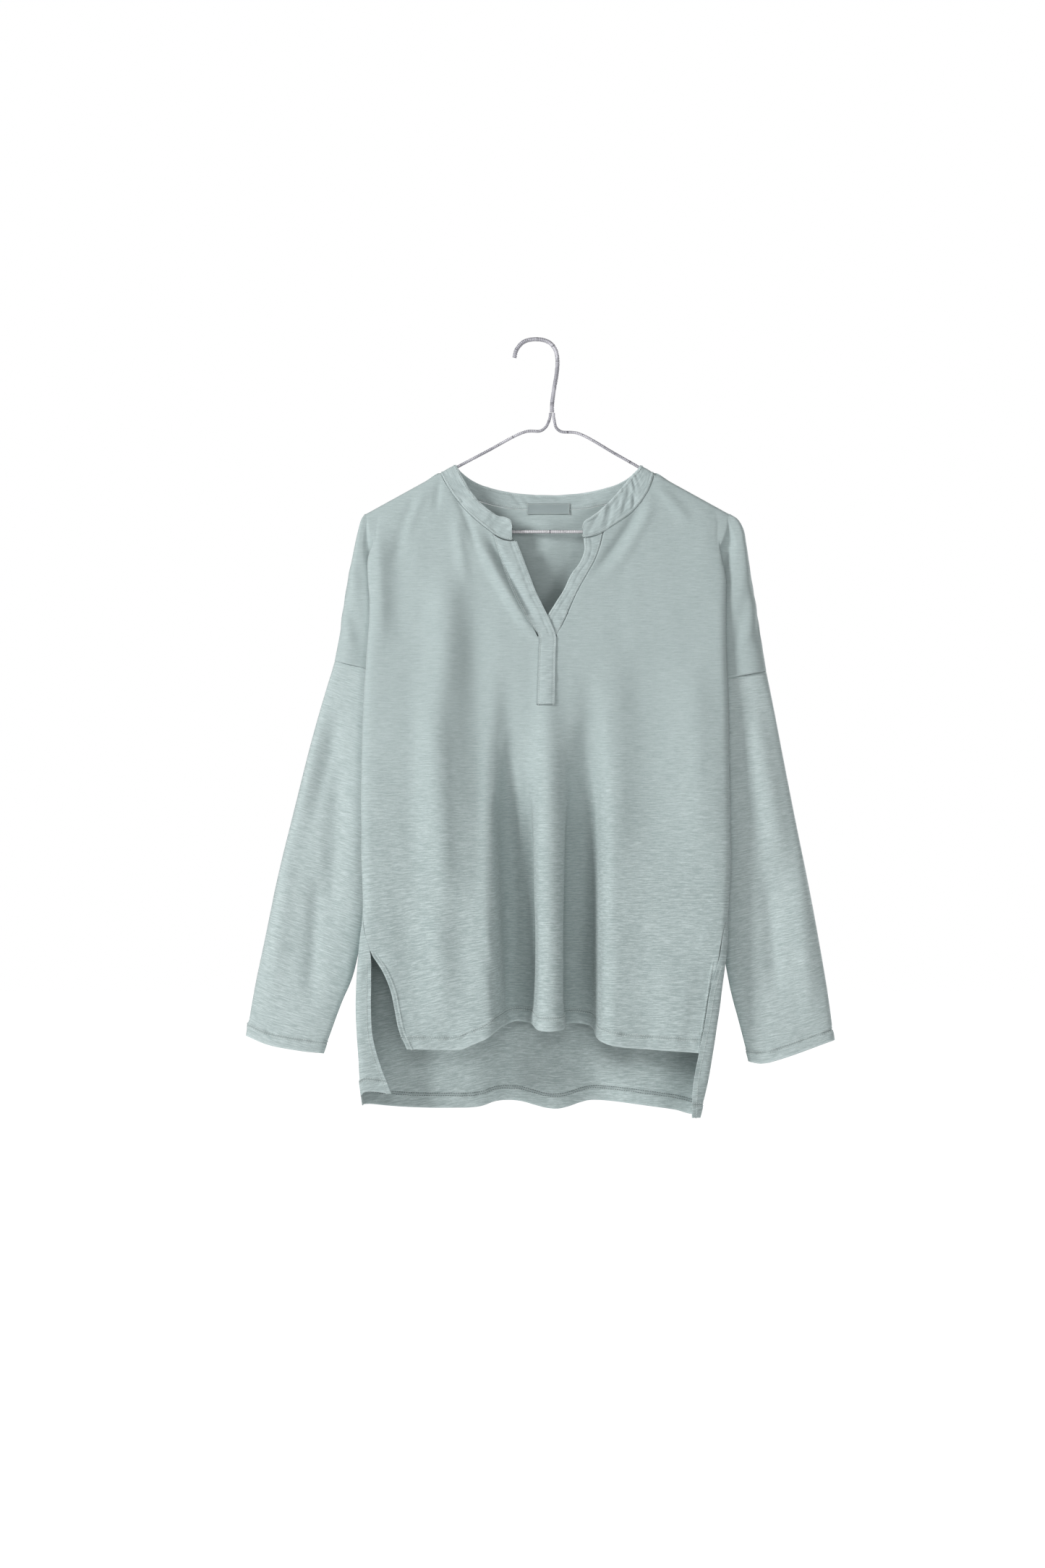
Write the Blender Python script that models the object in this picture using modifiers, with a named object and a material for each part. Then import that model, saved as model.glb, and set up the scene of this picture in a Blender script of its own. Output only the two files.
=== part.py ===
"""Henley t-shirt on a wire hanger: long sleeves, stand-up collar band, half placket, high-low hem.

The origin is the inner top of the hook, where it hangs on a rail. +Z is up and the front faces -Y.
Left and right are as seen from the front. A height is below the rail, so it is negative, and an
outward distance is measured from the garment's centre line towards either side.
"""

import math

import bmesh
import bpy
import numpy as np

# Driving dimensions
CLOTH = 0.0010
OVERLAY = 0.0014
SEAM_GAP = 0.0004
SHOULDER_GAP = 0.0005
CENTRE_X = 0.0110
SIGN = {"left": -1.0, "right": 1.0}

WIRE_RADIUS = 0.0016
HOOK_RADIUS = 0.00235
HALF_SPAN = 0.2045
CORNER_RADIUS = 0.0104

NECK_POINT = 0.1209
NECK_POINT_HEIGHT = -0.1491
SHOULDER_SLOPE = 0.551
RIDGE_RADIUS = WIRE_RADIUS + 0.0004 + CLOTH / 2
ARM_COSINE = 1 / math.hypot(1.0, SHOULDER_SLOPE)
DRAPE_LENGTH = 0.035

NOTCH_BOTTOM = -0.3330
RECTANGLE_BOTTOM = -0.4100


def table(columns, *rows):
    """Rows of numbers with named columns."""
    return np.array(list(rows), dtype=[(name, float) for name in columns.split()])


def along(rows, column, at):
    """A column's value at a place in the first column: smooth, with no overshoot between rows."""
    x, y = rows[rows.dtype.names[0]], rows[column]
    if x[0] > x[-1]:
        x, y = x[::-1], y[::-1]
    slope = np.diff(y) / np.diff(x)
    before, after = slope[:-1], slope[1:]
    same_way = before * after > 0
    total = np.where(same_way, before + after, 1.0)
    inner = np.where(same_way, 2 * before * after / total, 0.0)
    tangent = np.concatenate([slope[:1], inner, slope[-1:]])
    at = np.clip(at, x[0], x[-1])
    i = np.clip(np.searchsorted(x, at) - 1, 0, len(x) - 2)
    span = x[i + 1] - x[i]
    t = (at - x[i]) / span
    return (
        y[i] * (1 + 2 * t) * (1 - t) ** 2
        + y[i + 1] * t**2 * (3 - 2 * t)
        + span * (tangent[i] * t * (1 - t) ** 2 - tangent[i + 1] * t**2 * (1 - t))
    )


def rise(value, start, end):
    """0 before start, 1 after end, smooth between."""
    t = np.clip((value - start) / (end - start), 0.0, 1.0)
    return t * t * (3 - 2 * t)


# How far the front and back stand from the hanger's plane
DEPTH = table(
    "height front back",
    (-0.140, 0.0080, 0.0100),
    (-0.200, 0.0105, 0.0140),
    (-0.250, 0.0150, 0.0160),
    (-0.333, 0.0200, 0.0180),
    (-0.410, 0.0240, 0.0205),
    (-0.600, 0.0320, 0.0270),
    (-0.800, 0.0400, 0.0330),
    (-0.875, 0.0420, 0.0350),
)

# Where the cloth folds back at each side of the body, and how far in the valley behind it reaches
SIDE = {
    "left": table(
        "height fold valley",
        (-0.1908, 0.1965, 0.1990),
        (-0.1970, 0.2010, 0.2025),
        (-0.2046, 0.2021, 0.2020),
        (-0.2347, 0.2036, 0.1930),
        (-0.3016, 0.1997, 0.1610),
        (-0.3407, 0.2021, 0.1450),
        (-0.3855, 0.2052, 0.1280),
        (-0.4727, 0.2086, 0.1480),
        (-0.5607, 0.2091, 0.1720),
        (-0.6340, 0.2070, 0.1935),
        (-0.6865, 0.2120, 0.2095),
        (-0.7074, 0.2140, 0.2125),
        (-0.7502, 0.2152, 0.2140),
        (-0.7848, 0.2139, 0.2127),
        (-0.8174, 0.2119, 0.2107),
        (-0.8615, 0.2081, 0.2070),
    ),
    "right": table(
        "height fold valley",
        (-0.1908, 0.1965, 0.1990),
        (-0.1970, 0.2010, 0.2030),
        (-0.2046, 0.2020, 0.2020),
        (-0.2347, 0.2005, 0.1930),
        (-0.3016, 0.2005, 0.1610),
        (-0.3407, 0.2005, 0.1440),
        (-0.3936, 0.2025, 0.1263),
        (-0.4727, 0.2040, 0.1425),
        (-0.5770, 0.2054, 0.1660),
        (-0.6365, 0.2029, 0.1795),
        (-0.6879, 0.2015, 0.1930),
        (-0.7074, 0.1985, 0.1965),
        (-0.7332, 0.1946, 0.1935),
        (-0.7668, 0.1897, 0.1886),
        (-0.8003, 0.1848, 0.1837),
        (-0.8419, 0.1778, 0.1767),
        (-0.8729, 0.1699, 0.1688),
    ),
}

# Outer edge of the dropped shoulder, where it hangs down from the hanger's corner
DROP = table(
    "height left right",
    (-0.1961, 0.2062, 0.2066),
    (-0.1985, 0.2080, 0.2115),
    (-0.2011, 0.2094, 0.2143),
    (-0.2093, 0.2118, 0.2194),
    (-0.2164, 0.2137, 0.2216),
    (-0.2347, 0.2176, 0.2246),
    (-0.2738, 0.2249, 0.2303),
    (-0.3325, 0.2339, 0.2396),
    (-0.3619, 0.2396, 0.2446),
    (-0.3716, 0.2410, 0.2461),
)
ARMHOLE = {
    "left": {"outer": -0.3602, "fold": -0.3716, "valley": -0.3855},
    "right": {"outer": -0.3716, "fold": -0.3830, "valley": -0.3936},
}
# Half thickness of the dropped shoulder at a third, two thirds and nearly all of its width
DROP_THICKNESS = {"left": (0.0030, 0.0060, 0.0045), "right": (0.0025, 0.0085, 0.0065)}

# The side seam's place on the side's path: 5 is the valley, 2 the fold, 0 the front
SIDE_SEAM = table(
    "height place",
    (-0.530, 5.0),
    (-0.580, 3.5),
    (-0.634, 2.0),
    (-0.660, 1.0),
    (-0.690, 0.0),
)
SLIT_TOP = {"left": -0.6870, "right": -0.6956}
FRONT_SLIT = {
    "left": table(
        "height edge",
        (-0.6870, 0.1985),
        (-0.6993, 0.1891),
        (-0.7193, 0.1809),
        (-0.7311, 0.1760),
        (-0.7547, 0.1711),
        (-0.7707, 0.1682),
        (-0.7824, 0.1632),
        (-0.7960, 0.1575),
    ),
    "right": table(
        "height edge",
        (-0.6956, 0.1915),
        (-0.7030, 0.1889),
        (-0.7131, 0.1880),
        (-0.7351, 0.1850),
        (-0.7668, 0.1800),
        (-0.8005, 0.1745),
    ),
}
# The back's side edge, which wraps round to the front below the slit
BACK_STRIP = {
    "left": table(
        "height edge depth",
        (-0.6870, 0.1985, 0.0345),
        (-0.7332, 0.1972, 0.0300),
        (-0.7547, 0.1978, 0.0280),
        (-0.7944, 0.1940, 0.0240),
        (-0.8181, 0.1860, 0.0180),
        (-0.8468, 0.1752, 0.0100),
        (-0.8615, 0.1720, 0.0080),
    ),
    "right": table(
        "height edge depth",
        (-0.6956, 0.1915, 0.0360),
        (-0.7030, 0.1901, 0.0368),
        (-0.7131, 0.1848, 0.0385),
        (-0.7351, 0.1813, 0.0405),
        (-0.7668, 0.1758, 0.0425),
        (-0.7885, 0.1709, 0.0435),
        (-0.8043, 0.1683, 0.0430),
        (-0.8280, 0.1640, 0.0400),
        (-0.8537, 0.1610, 0.0360),
        (-0.8729, 0.1614, 0.0340),
    ),
}

# Hems, from left to right
FRONT_HEM = table(
    "across height",
    (-0.1575, -0.7960),
    (-0.1002, -0.7971),
    (-0.0791, -0.7897),
    (-0.0668, -0.7848),
    (-0.0538, -0.7743),
    (-0.0416, -0.7694),
    (-0.0318, -0.7669),
    (-0.0155, -0.7700),
    (-0.0090, -0.7751),
    (0.0020, -0.7762),
    (0.0130, -0.7751),
    (0.0208, -0.7720),
    (0.0293, -0.7690),
    (0.0432, -0.7710),
    (0.0497, -0.7743),
    (0.0538, -0.7832),
    (0.0603, -0.7881),
    (0.0709, -0.7918),
    (0.0872, -0.7943),
    (0.1084, -0.7960),
    (0.1745, -0.8005),
)
BACK_HEM = table(
    "across height",
    (-0.2081, -0.8615),
    (-0.1361, -0.8655),
    (-0.0815, -0.8655),
    (-0.0600, -0.8590),
    (-0.0416, -0.8575),
    (0.0098, -0.8670),
    (0.0505, -0.8575),
    (0.1165, -0.8639),
    (0.1703, -0.8729),
)
STRIP_HEM = {"left": -0.8468, "right": -0.8725}

# Necklines, outwards from the centre to the neck point
FRONT_NECK = {
    "left": table(
        "outward height",
        (0.0603, -0.2180),
        (0.0823, -0.2005),
        (0.1011, -0.1804),
        (0.1133, -0.1630),
        (NECK_POINT, NECK_POINT_HEIGHT),
    ),
    "right": table(
        "outward height",
        (0.0633, -0.2155),
        (0.0770, -0.2065),
        (0.0935, -0.1948),
        (0.1150, -0.1667),
        (NECK_POINT, NECK_POINT_HEIGHT),
    ),
}
BACK_NECK = table(
    "outward height",
    (0.0000, -0.1892),
    (0.0264, -0.1890),
    (0.0500, -0.1868),
    (0.0738, -0.1807),
    (0.1000, -0.1690),
    (NECK_POINT, NECK_POINT_HEIGHT),
)

# The V notch: its edges in the front, and the inner edges of the strips that close it
NOTCH = {
    "left": table(
        "height panel strip",
        (-0.2180, 0.0603, 0.0375),
        (-0.2551, 0.0485, 0.0233),
        (-0.2861, 0.0355, 0.0114),
        (-0.3119, 0.0224, -0.0016),
        (-0.3330, 0.0114, -0.0096),
    ),
    "right": table(
        "height panel strip",
        (-0.2155, 0.0633, 0.0399),
        (-0.2400, 0.0565, 0.0419),
        (-0.2540, 0.0495, 0.0315),
        (-0.2877, 0.0310, 0.0144),
        (-0.3119, 0.0208, -0.0016),
        (-0.3330, 0.0101, -0.0080),
    ),
}
RECTANGLE = table(
    "height left right",
    (-0.3330, -0.0100, 0.0096),
    (-0.4100, -0.0122, 0.0082),
)

# The pleat that falls from the placket, between its two troughs
PLEAT = table(
    "height left right trough",
    (-0.333, 0.0114, 0.0101, 0.000),
    (-0.410, 0.0130, 0.0140, 0.002),
    (-0.470, 0.0142, 0.0175, 0.012),
    (-0.530, 0.0148, 0.0192, 0.024),
    (-0.600, 0.0150, 0.0200, 0.034),
    (-0.700, 0.0155, 0.0208, 0.046),
    (-0.800, 0.0155, 0.0212, 0.056),
)
TROUGHS = {
    "left": table(
        "height middle width",
        (-0.400, 0.0360, 0.0240),
        (-0.600, 0.0345, 0.0210),
        (-0.800, 0.0345, 0.0205),
    ),
    "right": table(
        "height middle width",
        (-0.400, 0.0430, 0.0260),
        (-0.600, 0.0400, 0.0210),
        (-0.800, 0.0385, 0.0185),
    ),
}
# Long soft folds of each panel: where they run, how deep they get at the hem, and where they start
FRONT_FOLDS = table(
    "top_across low_across width depth start end",
    (-0.098, -0.110, 0.022, 0.0045, -0.20, -0.80),
    (-0.135, -0.152, 0.020, 0.0035, -0.22, -0.60),
    (0.090, 0.108, 0.026, 0.0035, -0.20, -0.80),
)
BACK_FOLDS = table(
    "top_across low_across width depth start end",
    (-0.030, -0.043, 0.026, -0.010, -0.25, -0.87),
    (0.030, 0.050, 0.026, -0.010, -0.25, -0.87),
    (-0.095, -0.120, 0.028, 0.006, -0.22, -0.87),
    (0.095, 0.112, 0.028, 0.006, -0.22, -0.87),
)

# Sleeves, down from the armhole: the ring's two ends, its half thickness and how far it stands back
SLEEVE = {
    "left": table(
        "place outer outer_height inner inner_height thickness back",
        (0.00, 0.2388, -0.3602, 0.1295, -0.3855, 0.0060, 0.000),
        (0.10, 0.2490, -0.3930, 0.1420, -0.4270, 0.0062, 0.000),
        (0.25, 0.2640, -0.4450, 0.1560, -0.4750, 0.0070, 0.000),
        (0.45, 0.2850, -0.5280, 0.1775, -0.5530, 0.0078, 0.001),
        (0.65, 0.3040, -0.6060, 0.2030, -0.6330, 0.0085, 0.000),
        (0.80, 0.3175, -0.6720, 0.2176, -0.7080, 0.0090, -0.001),
        (0.90, 0.3290, -0.7270, 0.2355, -0.7531, 0.0090, -0.002),
        (1.00, 0.3390, -0.7824, 0.2527, -0.8020, 0.0085, -0.003),
    ),
    "right": table(
        "place outer outer_height inner inner_height thickness back",
        (0.00, 0.2461, -0.3716, 0.1278, -0.3936, 0.0060, 0.000),
        (0.10, 0.2550, -0.4160, 0.1370, -0.4340, 0.0064, 0.000),
        (0.25, 0.2640, -0.4630, 0.1505, -0.4850, 0.0072, 0.000),
        (0.45, 0.2795, -0.5420, 0.1715, -0.5700, 0.0080, 0.001),
        (0.65, 0.2960, -0.6240, 0.1930, -0.6560, 0.0088, 0.000),
        (0.80, 0.3090, -0.6960, 0.2065, -0.7300, 0.0095, -0.001),
        (0.90, 0.3165, -0.7420, 0.2170, -0.7700, 0.0095, -0.002),
        (1.00, 0.3227, -0.7873, 0.2274, -0.8109, 0.0090, -0.003),
    ),
}

# How far the cuff's edge sags below a straight line, from its inner end to its outer one
CUFF_SAG = {
    "left": table("share sag", (0.0, 0.0), (0.30, 0.0030), (0.69, 0.0045), (1.0, 0.0)),
    "right": table("share sag", (0.0, 0.0), (0.08, 0.0042), (0.21, 0.0068), (1.0, 0.0)),
}

# Collar band. Its two front ends lie over the placket: seam edge and top edge
COLLAR_END = {
    "left": table(
        "outward height top_outward top_height",
        (0.0399, -0.2250, 0.0399, -0.2080),
        (0.0420, -0.2249, 0.0412, -0.2022),
        (0.0500, -0.2232, 0.0470, -0.1985),
        (0.0603, -0.2180, 0.0570, -0.1963),
        (0.0640, -0.2151, 0.0600, -0.1950),
    ),
    "right": table(
        "outward height top_outward top_height",
        (0.0397, -0.2216, 0.0397, -0.2085),
        (0.0420, -0.2215, 0.0410, -0.2040),
        (0.0520, -0.2198, 0.0485, -0.1985),
        (0.0633, -0.2155, 0.0600, -0.1898),
        (0.0670, -0.2130, 0.0620, -0.1880),
    ),
}
# Its top edge, by the place along the neckline below it; lean is how far it stands out behind
COLLAR_TOP = {
    "left": table(
        "place outward height",
        (0.0000, 0.0570, -0.1963),
        (0.3100, 0.0715, -0.1858),
        (0.6100, 0.0842, -0.1720),
        (0.8400, 0.0940, -0.1562),
        (0.9570, 0.1008, -0.1428),
        (0.9914, 0.1025, -0.1399),
        (1.0000, 0.1029, -0.1392),
    ),
    "right": table(
        "place outward height",
        (0.0000, 0.0600, -0.1898),
        (0.1800, 0.0690, -0.1815),
        (0.4000, 0.0823, -0.1667),
        (0.7900, 0.0960, -0.1500),
        (0.9570, 0.1022, -0.1436),
        (0.9914, 0.1039, -0.1406),
        (1.0000, 0.1043, -0.1399),
    ),
}
COLLAR_TOP_BACK = table(
    "place outward height lean",
    (0.0000, 0.0000, -0.1724, 0.0095),
    (0.2000, 0.0260, -0.1714, 0.0090),
    (0.3800, 0.0480, -0.1682, 0.0080),
    (0.5650, 0.0690, -0.1630, 0.0060),
    (0.7800, 0.0860, -0.1560, 0.0030),
    (0.9200, 0.0975, -0.1460, 0.0010),
    (0.9687, 0.1008, -0.1428, 0.0003),
    (0.9937, 0.1025, -0.1399, 0.0000),
    (1.0000, 0.1029, -0.1392, 0.0000),
)

LABEL_LEFT, LABEL_RIGHT = -0.0231, 0.0256
LABEL_TOP, LABEL_BOTTOM = -0.1823, -0.1945

COLOURS = {
    "jersey": (0.40, 0.47, 0.46, 1.0),
    "label": (0.46, 0.53, 0.52, 1.0),
    "wire": (0.55, 0.55, 0.57, 1.0),
}

# Places along the arm where a half panel's neckline, flat, valley and dropped shoulder end
FLAT_TOP, VALLEY_TOP, DROP_TOP = 0.1860, 0.2016, 0.2062
# Columns of the dropped shoulder: width shares, places on the arm, and how much of the roll they take
DROP_SHARES = (0.0, 0.30, 0.66, 0.95, 1.0, 1.0)
DROP_TOPS = (0.0, 0.25, 0.50, 0.78, 0.98, 1.0)
DROP_ROLLS = (1.0, 1.0, 1.0, 0.9, 0.4, 0.0)
SLIT_RECESS = {"left": 0.0, "right": 0.003}

# Mesh density: how each height and width is shared out, and where the neckline's columns start
TOP_DROPS = (0.0, 0.0002, 0.0012, 0.0045, 0.0130)
SEAM_TURN = -0.530
ROW_COUNTS = (6, 2, 3, 6, 5)
NECK_PLACES = {
    "front": (0.0, 0.10, 0.20, 0.30, 0.40, 0.50, 0.60, 0.70, 0.79, 0.88, 0.957, 0.9914, 1.0),
    "back": (0.0, 0.17, 0.34, 0.51, 0.68, 0.84, 0.9687, 0.9937, 1.0),
}
NECK_SHARES = {
    "front": (0.0, 0.035, 0.07, 0.105, 0.14, 0.175, 0.215, 0.26, 0.32, 0.39, 0.46, 0.54, 0.62),
    "back": (0.0, 0.08, 0.16, 0.24, 0.32, 0.40, 0.48, 0.55, 0.62),
}
ARM_SHARES = {"front": (0.71, 0.80, 0.90, 1.0), "back": (0.72, 0.86, 1.0)}
SIDE_CELLS = {"front": 6, "back": 8}
PLEAT_CELLS = 4
SLEEVE_CELLS = 20
SLEEVE_PLACES = (0.0, 0.03, 0.07, 0.12, 0.19, 0.27, 0.35, 0.43, 0.51, 0.59, 0.67, 0.75, 0.82, 0.88)
SLEEVE_PLACES += (0.94, 1.0)


def ridge(outward):
    """Height of the cloth's middle where it lies on the hanger's arm."""
    return NECK_POINT_HEIGHT - SHOULDER_SLOPE * (outward - NECK_POINT)


def stand_off(outward, height, panel):
    """Distance from the hanger's plane of a panel that rolls over the arm and falls from it."""
    drop = np.maximum(ridge(outward) - height, 0.0)
    roll = np.sqrt(RIDGE_RADIUS**2 - np.maximum(RIDGE_RADIUS - drop * ARM_COSINE, 0.0) ** 2)
    full = along(DEPTH, panel, height) - RIDGE_RADIUS
    return np.maximum(roll + full * (1 - np.exp(-drop / DRAPE_LENGTH)), SHOULDER_GAP / 2)


def soft_folds(rows, across, height):
    """Inward depth of long folds that widen from their start to their end."""
    total = 0.0
    for row in rows:
        way = np.clip((row["start"] - height) / (row["start"] - row["end"]), 0.0, 1.0)
        middle = row["top_across"] + (row["low_across"] - row["top_across"]) * way
        hollow = np.exp(-(((across - middle) / row["width"]) ** 2))
        total = total + row["depth"] * rise(way, 0.0, 1.0) * hollow
    return total


def trough(across, height):
    """Inward depth of the two troughs beside the pleat."""
    depth = along(PLEAT, "trough", height)
    total = 0.0
    for side, rows in TROUGHS.items():
        middle = SIGN[side] * along(rows, "middle", height)
        width = along(rows, "width", height)
        total = total + np.exp(-np.abs((across - middle) / width) ** 3.2)
    return depth * total


def edge_fade(side, outward, height):
    """1 on the flat of a panel and 0 at its side fold."""
    fold = along(SIDE[side], "fold", height)
    return 1 - rise(outward, fold - 0.045, fold - 0.022)


def front_depth(across, height):
    """Distance in front of the hanger's plane of the front's middle surface."""
    outward = np.abs(across)
    side = "left" if np.mean(across) < 0 else "right"
    folds = soft_folds(FRONT_FOLDS, across, height) * edge_fade(side, outward, height)
    return np.maximum(stand_off(outward, height, "front") - folds - trough(across, height), -0.05)


def back_depth(across, height):
    """Distance behind the hanger's plane of the back's middle surface."""
    outward = np.abs(across)
    side = "left" if np.mean(across) < 0 else "right"
    folds = soft_folds(BACK_FOLDS, across, height) * edge_fade(side, outward, height)
    return stand_off(outward, height, "back") - folds


def front_edge(side, height):
    """Where the front's flat ends: near the side fold, and at the slit's edge lower down."""
    by_fold = along(SIDE[side], "fold", height) - 0.012
    near = rise(SLIT_TOP[side] + 0.05 - height, 0.0, 0.05)
    return by_fold * (1 - near) + along(FRONT_SLIT[side], "edge", height) * near


def front_span(side, height):
    """Width of the front's side columns that still lie flat."""
    return 0.012 + 0.018 * rise(SLIT_TOP[side] + 0.05 - height, 0.0, 0.05)


def side_path(side, panel, height):
    """Thirteen points (outward, y) round the body's side, from the panel's flat by the valley."""
    fold, valley = (float(along(SIDE[side], name, height)) for name in ("fold", "valley"))
    open_up = float(rise(ridge(fold) - height, 0.0, 0.045))
    near_slit = float(rise(SLIT_TOP[side] + 0.05 - height, 0.0, 0.05))
    inner_half = RIDGE_RADIUS + (DROP_THICKNESS[side][0] - RIDGE_RADIUS) * open_up
    armhole = ARMHOLE[side]["valley"]
    centre = (inner_half + 0.0016) * float(rise(height, armhole - 0.006, armhole + 0.030))
    reach = max(fold - valley, 0.0)
    turn = min(0.0035, 0.0005 + reach * 0.3) * open_up + 0.0002
    folding = float(rise(reach, 0.003, 0.018)) if height > armhole else 1.0
    front = float(stand_off(fold - 0.010, height, "front"))
    front += (float(along(BACK_STRIP[side], "depth", height)) - front) * near_slit
    edge = fold - 0.012
    edge += (float(along(BACK_STRIP[side], "edge", height)) - edge) * near_slit

    def half_side(depth, first, span):
        returned = inner_half + (depth - inner_half) * (0.45 if reach > 0.01 else 0.55)
        returned = max(min(returned, depth * 0.72), centre * 1.02)
        folded = [
            (first - span, depth),
            (first, depth),
            (fold - turn - 0.0006, depth - 0.10 * (depth - returned)),
            (fold, (depth + returned) / 2),
            (fold - turn, returned + 0.06 * (depth - returned)),
            (valley + 0.11 * reach, centre + (returned - centre) * 0.66),
            (valley, centre),
        ]
        shares = np.linspace(0.0, 1.0, 6)
        plain = [(first + (valley - first) * t, depth * (1 - 0.08 * t * t)) for t in shares]
        plain.insert(0, folded[0])
        return [
            (a[0] + (b[0] - a[0]) * folding, a[1] + (b[1] - a[1]) * folding) for a, b in zip(plain, folded)
        ]

    halves = {
        "front": [(w, -y) for w, y in half_side(front, edge, front_span(side, height))],
        "back": half_side(float(stand_off(fold - 0.010, height, "back")), fold - 0.012, 0.012),
    }
    own, other = halves[panel], halves["back" if panel == "front" else "front"]
    if height > armhole - 0.006:
        (near_x, near_y), (end_x, end_y) = own[-2:]
        onward = (2 * end_x - near_x, 2 * end_y - near_y)
        inward = (end_x + 0.001, end_y * 0.5)
        return np.array(own + [tuple(a + (b - a) * folding for a, b in zip(onward, inward))])
    return np.array(own + other[-2::-1])


def on_path(points, place, first=-1.0, shift=0.0):
    """Point of a smooth curve through the path's points, moved along it by the shift."""
    steps = np.linspace(0.0, len(points) - 1, 24 * (len(points) - 1) + 1)
    i = np.clip(steps.astype(int), 0, len(points) - 2)
    t = (steps - i)[:, None]
    padded = np.vstack([2 * points[0] - points[1], points, 2 * points[-1] - points[-2]])
    leg = np.sqrt(np.maximum(np.linalg.norm(np.diff(padded, axis=0), axis=1), 4e-4))[:, None]
    before, across, after = (padded[i + step] - padded[i + step - 1] for step in (1, 2, 3))
    leg_1, leg_2, leg_3 = leg[i], leg[i + 1], leg[i + 2]
    leave = across + leg_2 * (before / leg_1 - (before + across) / (leg_1 + leg_2))
    arrive = across + leg_2 * (after / leg_3 - (across + after) / (leg_2 + leg_3))
    fine = (
        padded[i + 1] * (1 + 2 * t) * (1 - t) ** 2
        + padded[i + 2] * t**2 * (3 - 2 * t)
        + leave * t * (1 - t) ** 2
        - arrive * t**2 * (1 - t)
    )
    length = np.concatenate([[0.0], np.cumsum(np.linalg.norm(np.diff(fine, axis=0), axis=1))])
    at = np.interp(np.asarray(place, float) - first, steps, length) + shift
    return np.stack([np.interp(at, length, fine[:, axis]) for axis in range(fine.shape[1])], axis=-1)


def drop_path(side, height):
    """Six points (outward, y) of the front dropped shoulder, from the valley to its outer edge."""
    outer = float(along(DROP, side, height))
    open_up = float(rise(ridge(0.2040) - height, 0.0, 0.045))
    inner, inner_y = side_path(side, "front", height)[6]
    halves = [RIDGE_RADIUS + (half - RIDGE_RADIUS) * open_up for half in DROP_THICKNESS[side]]
    depths = (-inner_y, *halves, 0.0010, SHOULDER_GAP / 2)
    return np.array([(inner + (outer - inner) * share, -depth) for share, depth in zip(DROP_SHARES, depths)])


def rolled(panel, top_outward, height, point, roll_share=1.0):
    """A point of a side column, led from its place on the hanger's arm to its own path below."""
    drop = ridge(top_outward) - height
    way = float(rise(drop, 0.0, 0.030))
    roll = SHOULDER_GAP / 2 + (float(stand_off(top_outward, height, panel)) - SHOULDER_GAP / 2) * roll_share
    if way == 1.0:
        return point
    outward, y = point
    least = min(roll, RIDGE_RADIUS * roll_share + SHOULDER_GAP / 2) if way < 0.5 else 0.0
    from_plane = max(roll + (abs(y) - roll) * way, least)
    forward = -1 if panel == "front" else 1
    outward_way = way if roll_share == 1.0 else 1.0
    return top_outward + (outward - top_outward) * outward_way, forward * from_plane


def collection_for(name):
    collection = bpy.data.collections.new(name)
    bpy.context.scene.collection.children.link(collection)
    return collection


def material_for(name, roughness, metallic):
    material = bpy.data.materials.new(name)
    material.use_nodes = True
    shader = material.node_tree.nodes["Principled BSDF"]
    shader.inputs["Base Color"].default_value = COLOURS[name]
    shader.inputs["Roughness"].default_value = roughness
    shader.inputs["Metallic"].default_value = metallic
    return material


def cloth_from(name, points, material, gone=None, closed=False, wall=CLOTH):
    """A cloth wall through a grid of points, with the cells marked as gone left out."""
    rows, columns = points.shape[0] - 1, points.shape[1] - 1
    grid = bmesh.new()
    bmesh.ops.create_grid(grid, x_segments=columns, y_segments=rows, size=0.5)
    cells = {}
    for face in grid.faces:
        centre = face.calc_center_median()
        cells[int((0.5 - centre.y) * rows), int((centre.x + 0.5) * columns)] = face
    for vertex in grid.verts:
        column = round((vertex.co.x + 0.5) * columns)
        row = round((0.5 - vertex.co.y) * rows)
        vertex.co = points[row, column]
    if gone is not None:
        cut = [face for (row, column), face in cells.items() if gone[row, column]]
        bmesh.ops.delete(grid, geom=cut, context="FACES")
    if closed:
        bmesh.ops.remove_doubles(grid, verts=grid.verts, dist=1e-6)
    mesh = bpy.data.meshes.new(name)
    grid.to_mesh(mesh)
    grid.free()
    mesh.shade_smooth()
    piece = bpy.data.objects.new(name, mesh)
    piece.location.x = CENTRE_X
    thickness = piece.modifiers.new("Cloth wall", "SOLIDIFY")
    thickness.thickness = wall
    thickness.offset = 0.0
    mesh.materials.append(material)
    shirt.objects.link(piece)
    return piece


def neckline_points(rows, shares):
    """Points (outward, height) at shares of the way along a neckline."""
    fine = np.linspace(rows["outward"][0], rows["outward"][-1], 80)
    fine_height = along(rows, "height", fine)
    length = np.concatenate([[0.0], np.cumsum(np.hypot(np.diff(fine), np.diff(fine_height)))])
    at = np.asarray(shares) * length[-1]
    return np.interp(at, length, fine), np.interp(at, length, fine_height)


def row_heights(side, top, armhole, hem):
    """Heights of one column's rows: fine at the top, then shared out between its landmarks."""
    heights = [top - drop for drop in TOP_DROPS]
    marks = (heights[-1], NOTCH_BOTTOM, armhole, SEAM_TURN, SLIT_TOP[side], hem)
    for start, end, count in zip(marks, marks[1:], ROW_COUNTS):
        heights += [start + (end - start) * step / count for step in range(1, count + 1)]
    return np.array(heights)


def inner_edge(side, panel, height):
    """Where a half panel's first column runs: the notch and then the pleat's edge, or the middle."""
    if panel == "back":
        return np.zeros_like(np.asarray(height, float))
    notch = along(NOTCH[side], "panel", height)
    pleat = along(PLEAT, side, height)
    return np.where(np.asarray(height) > NOTCH_BOTTOM, notch, pleat)


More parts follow.
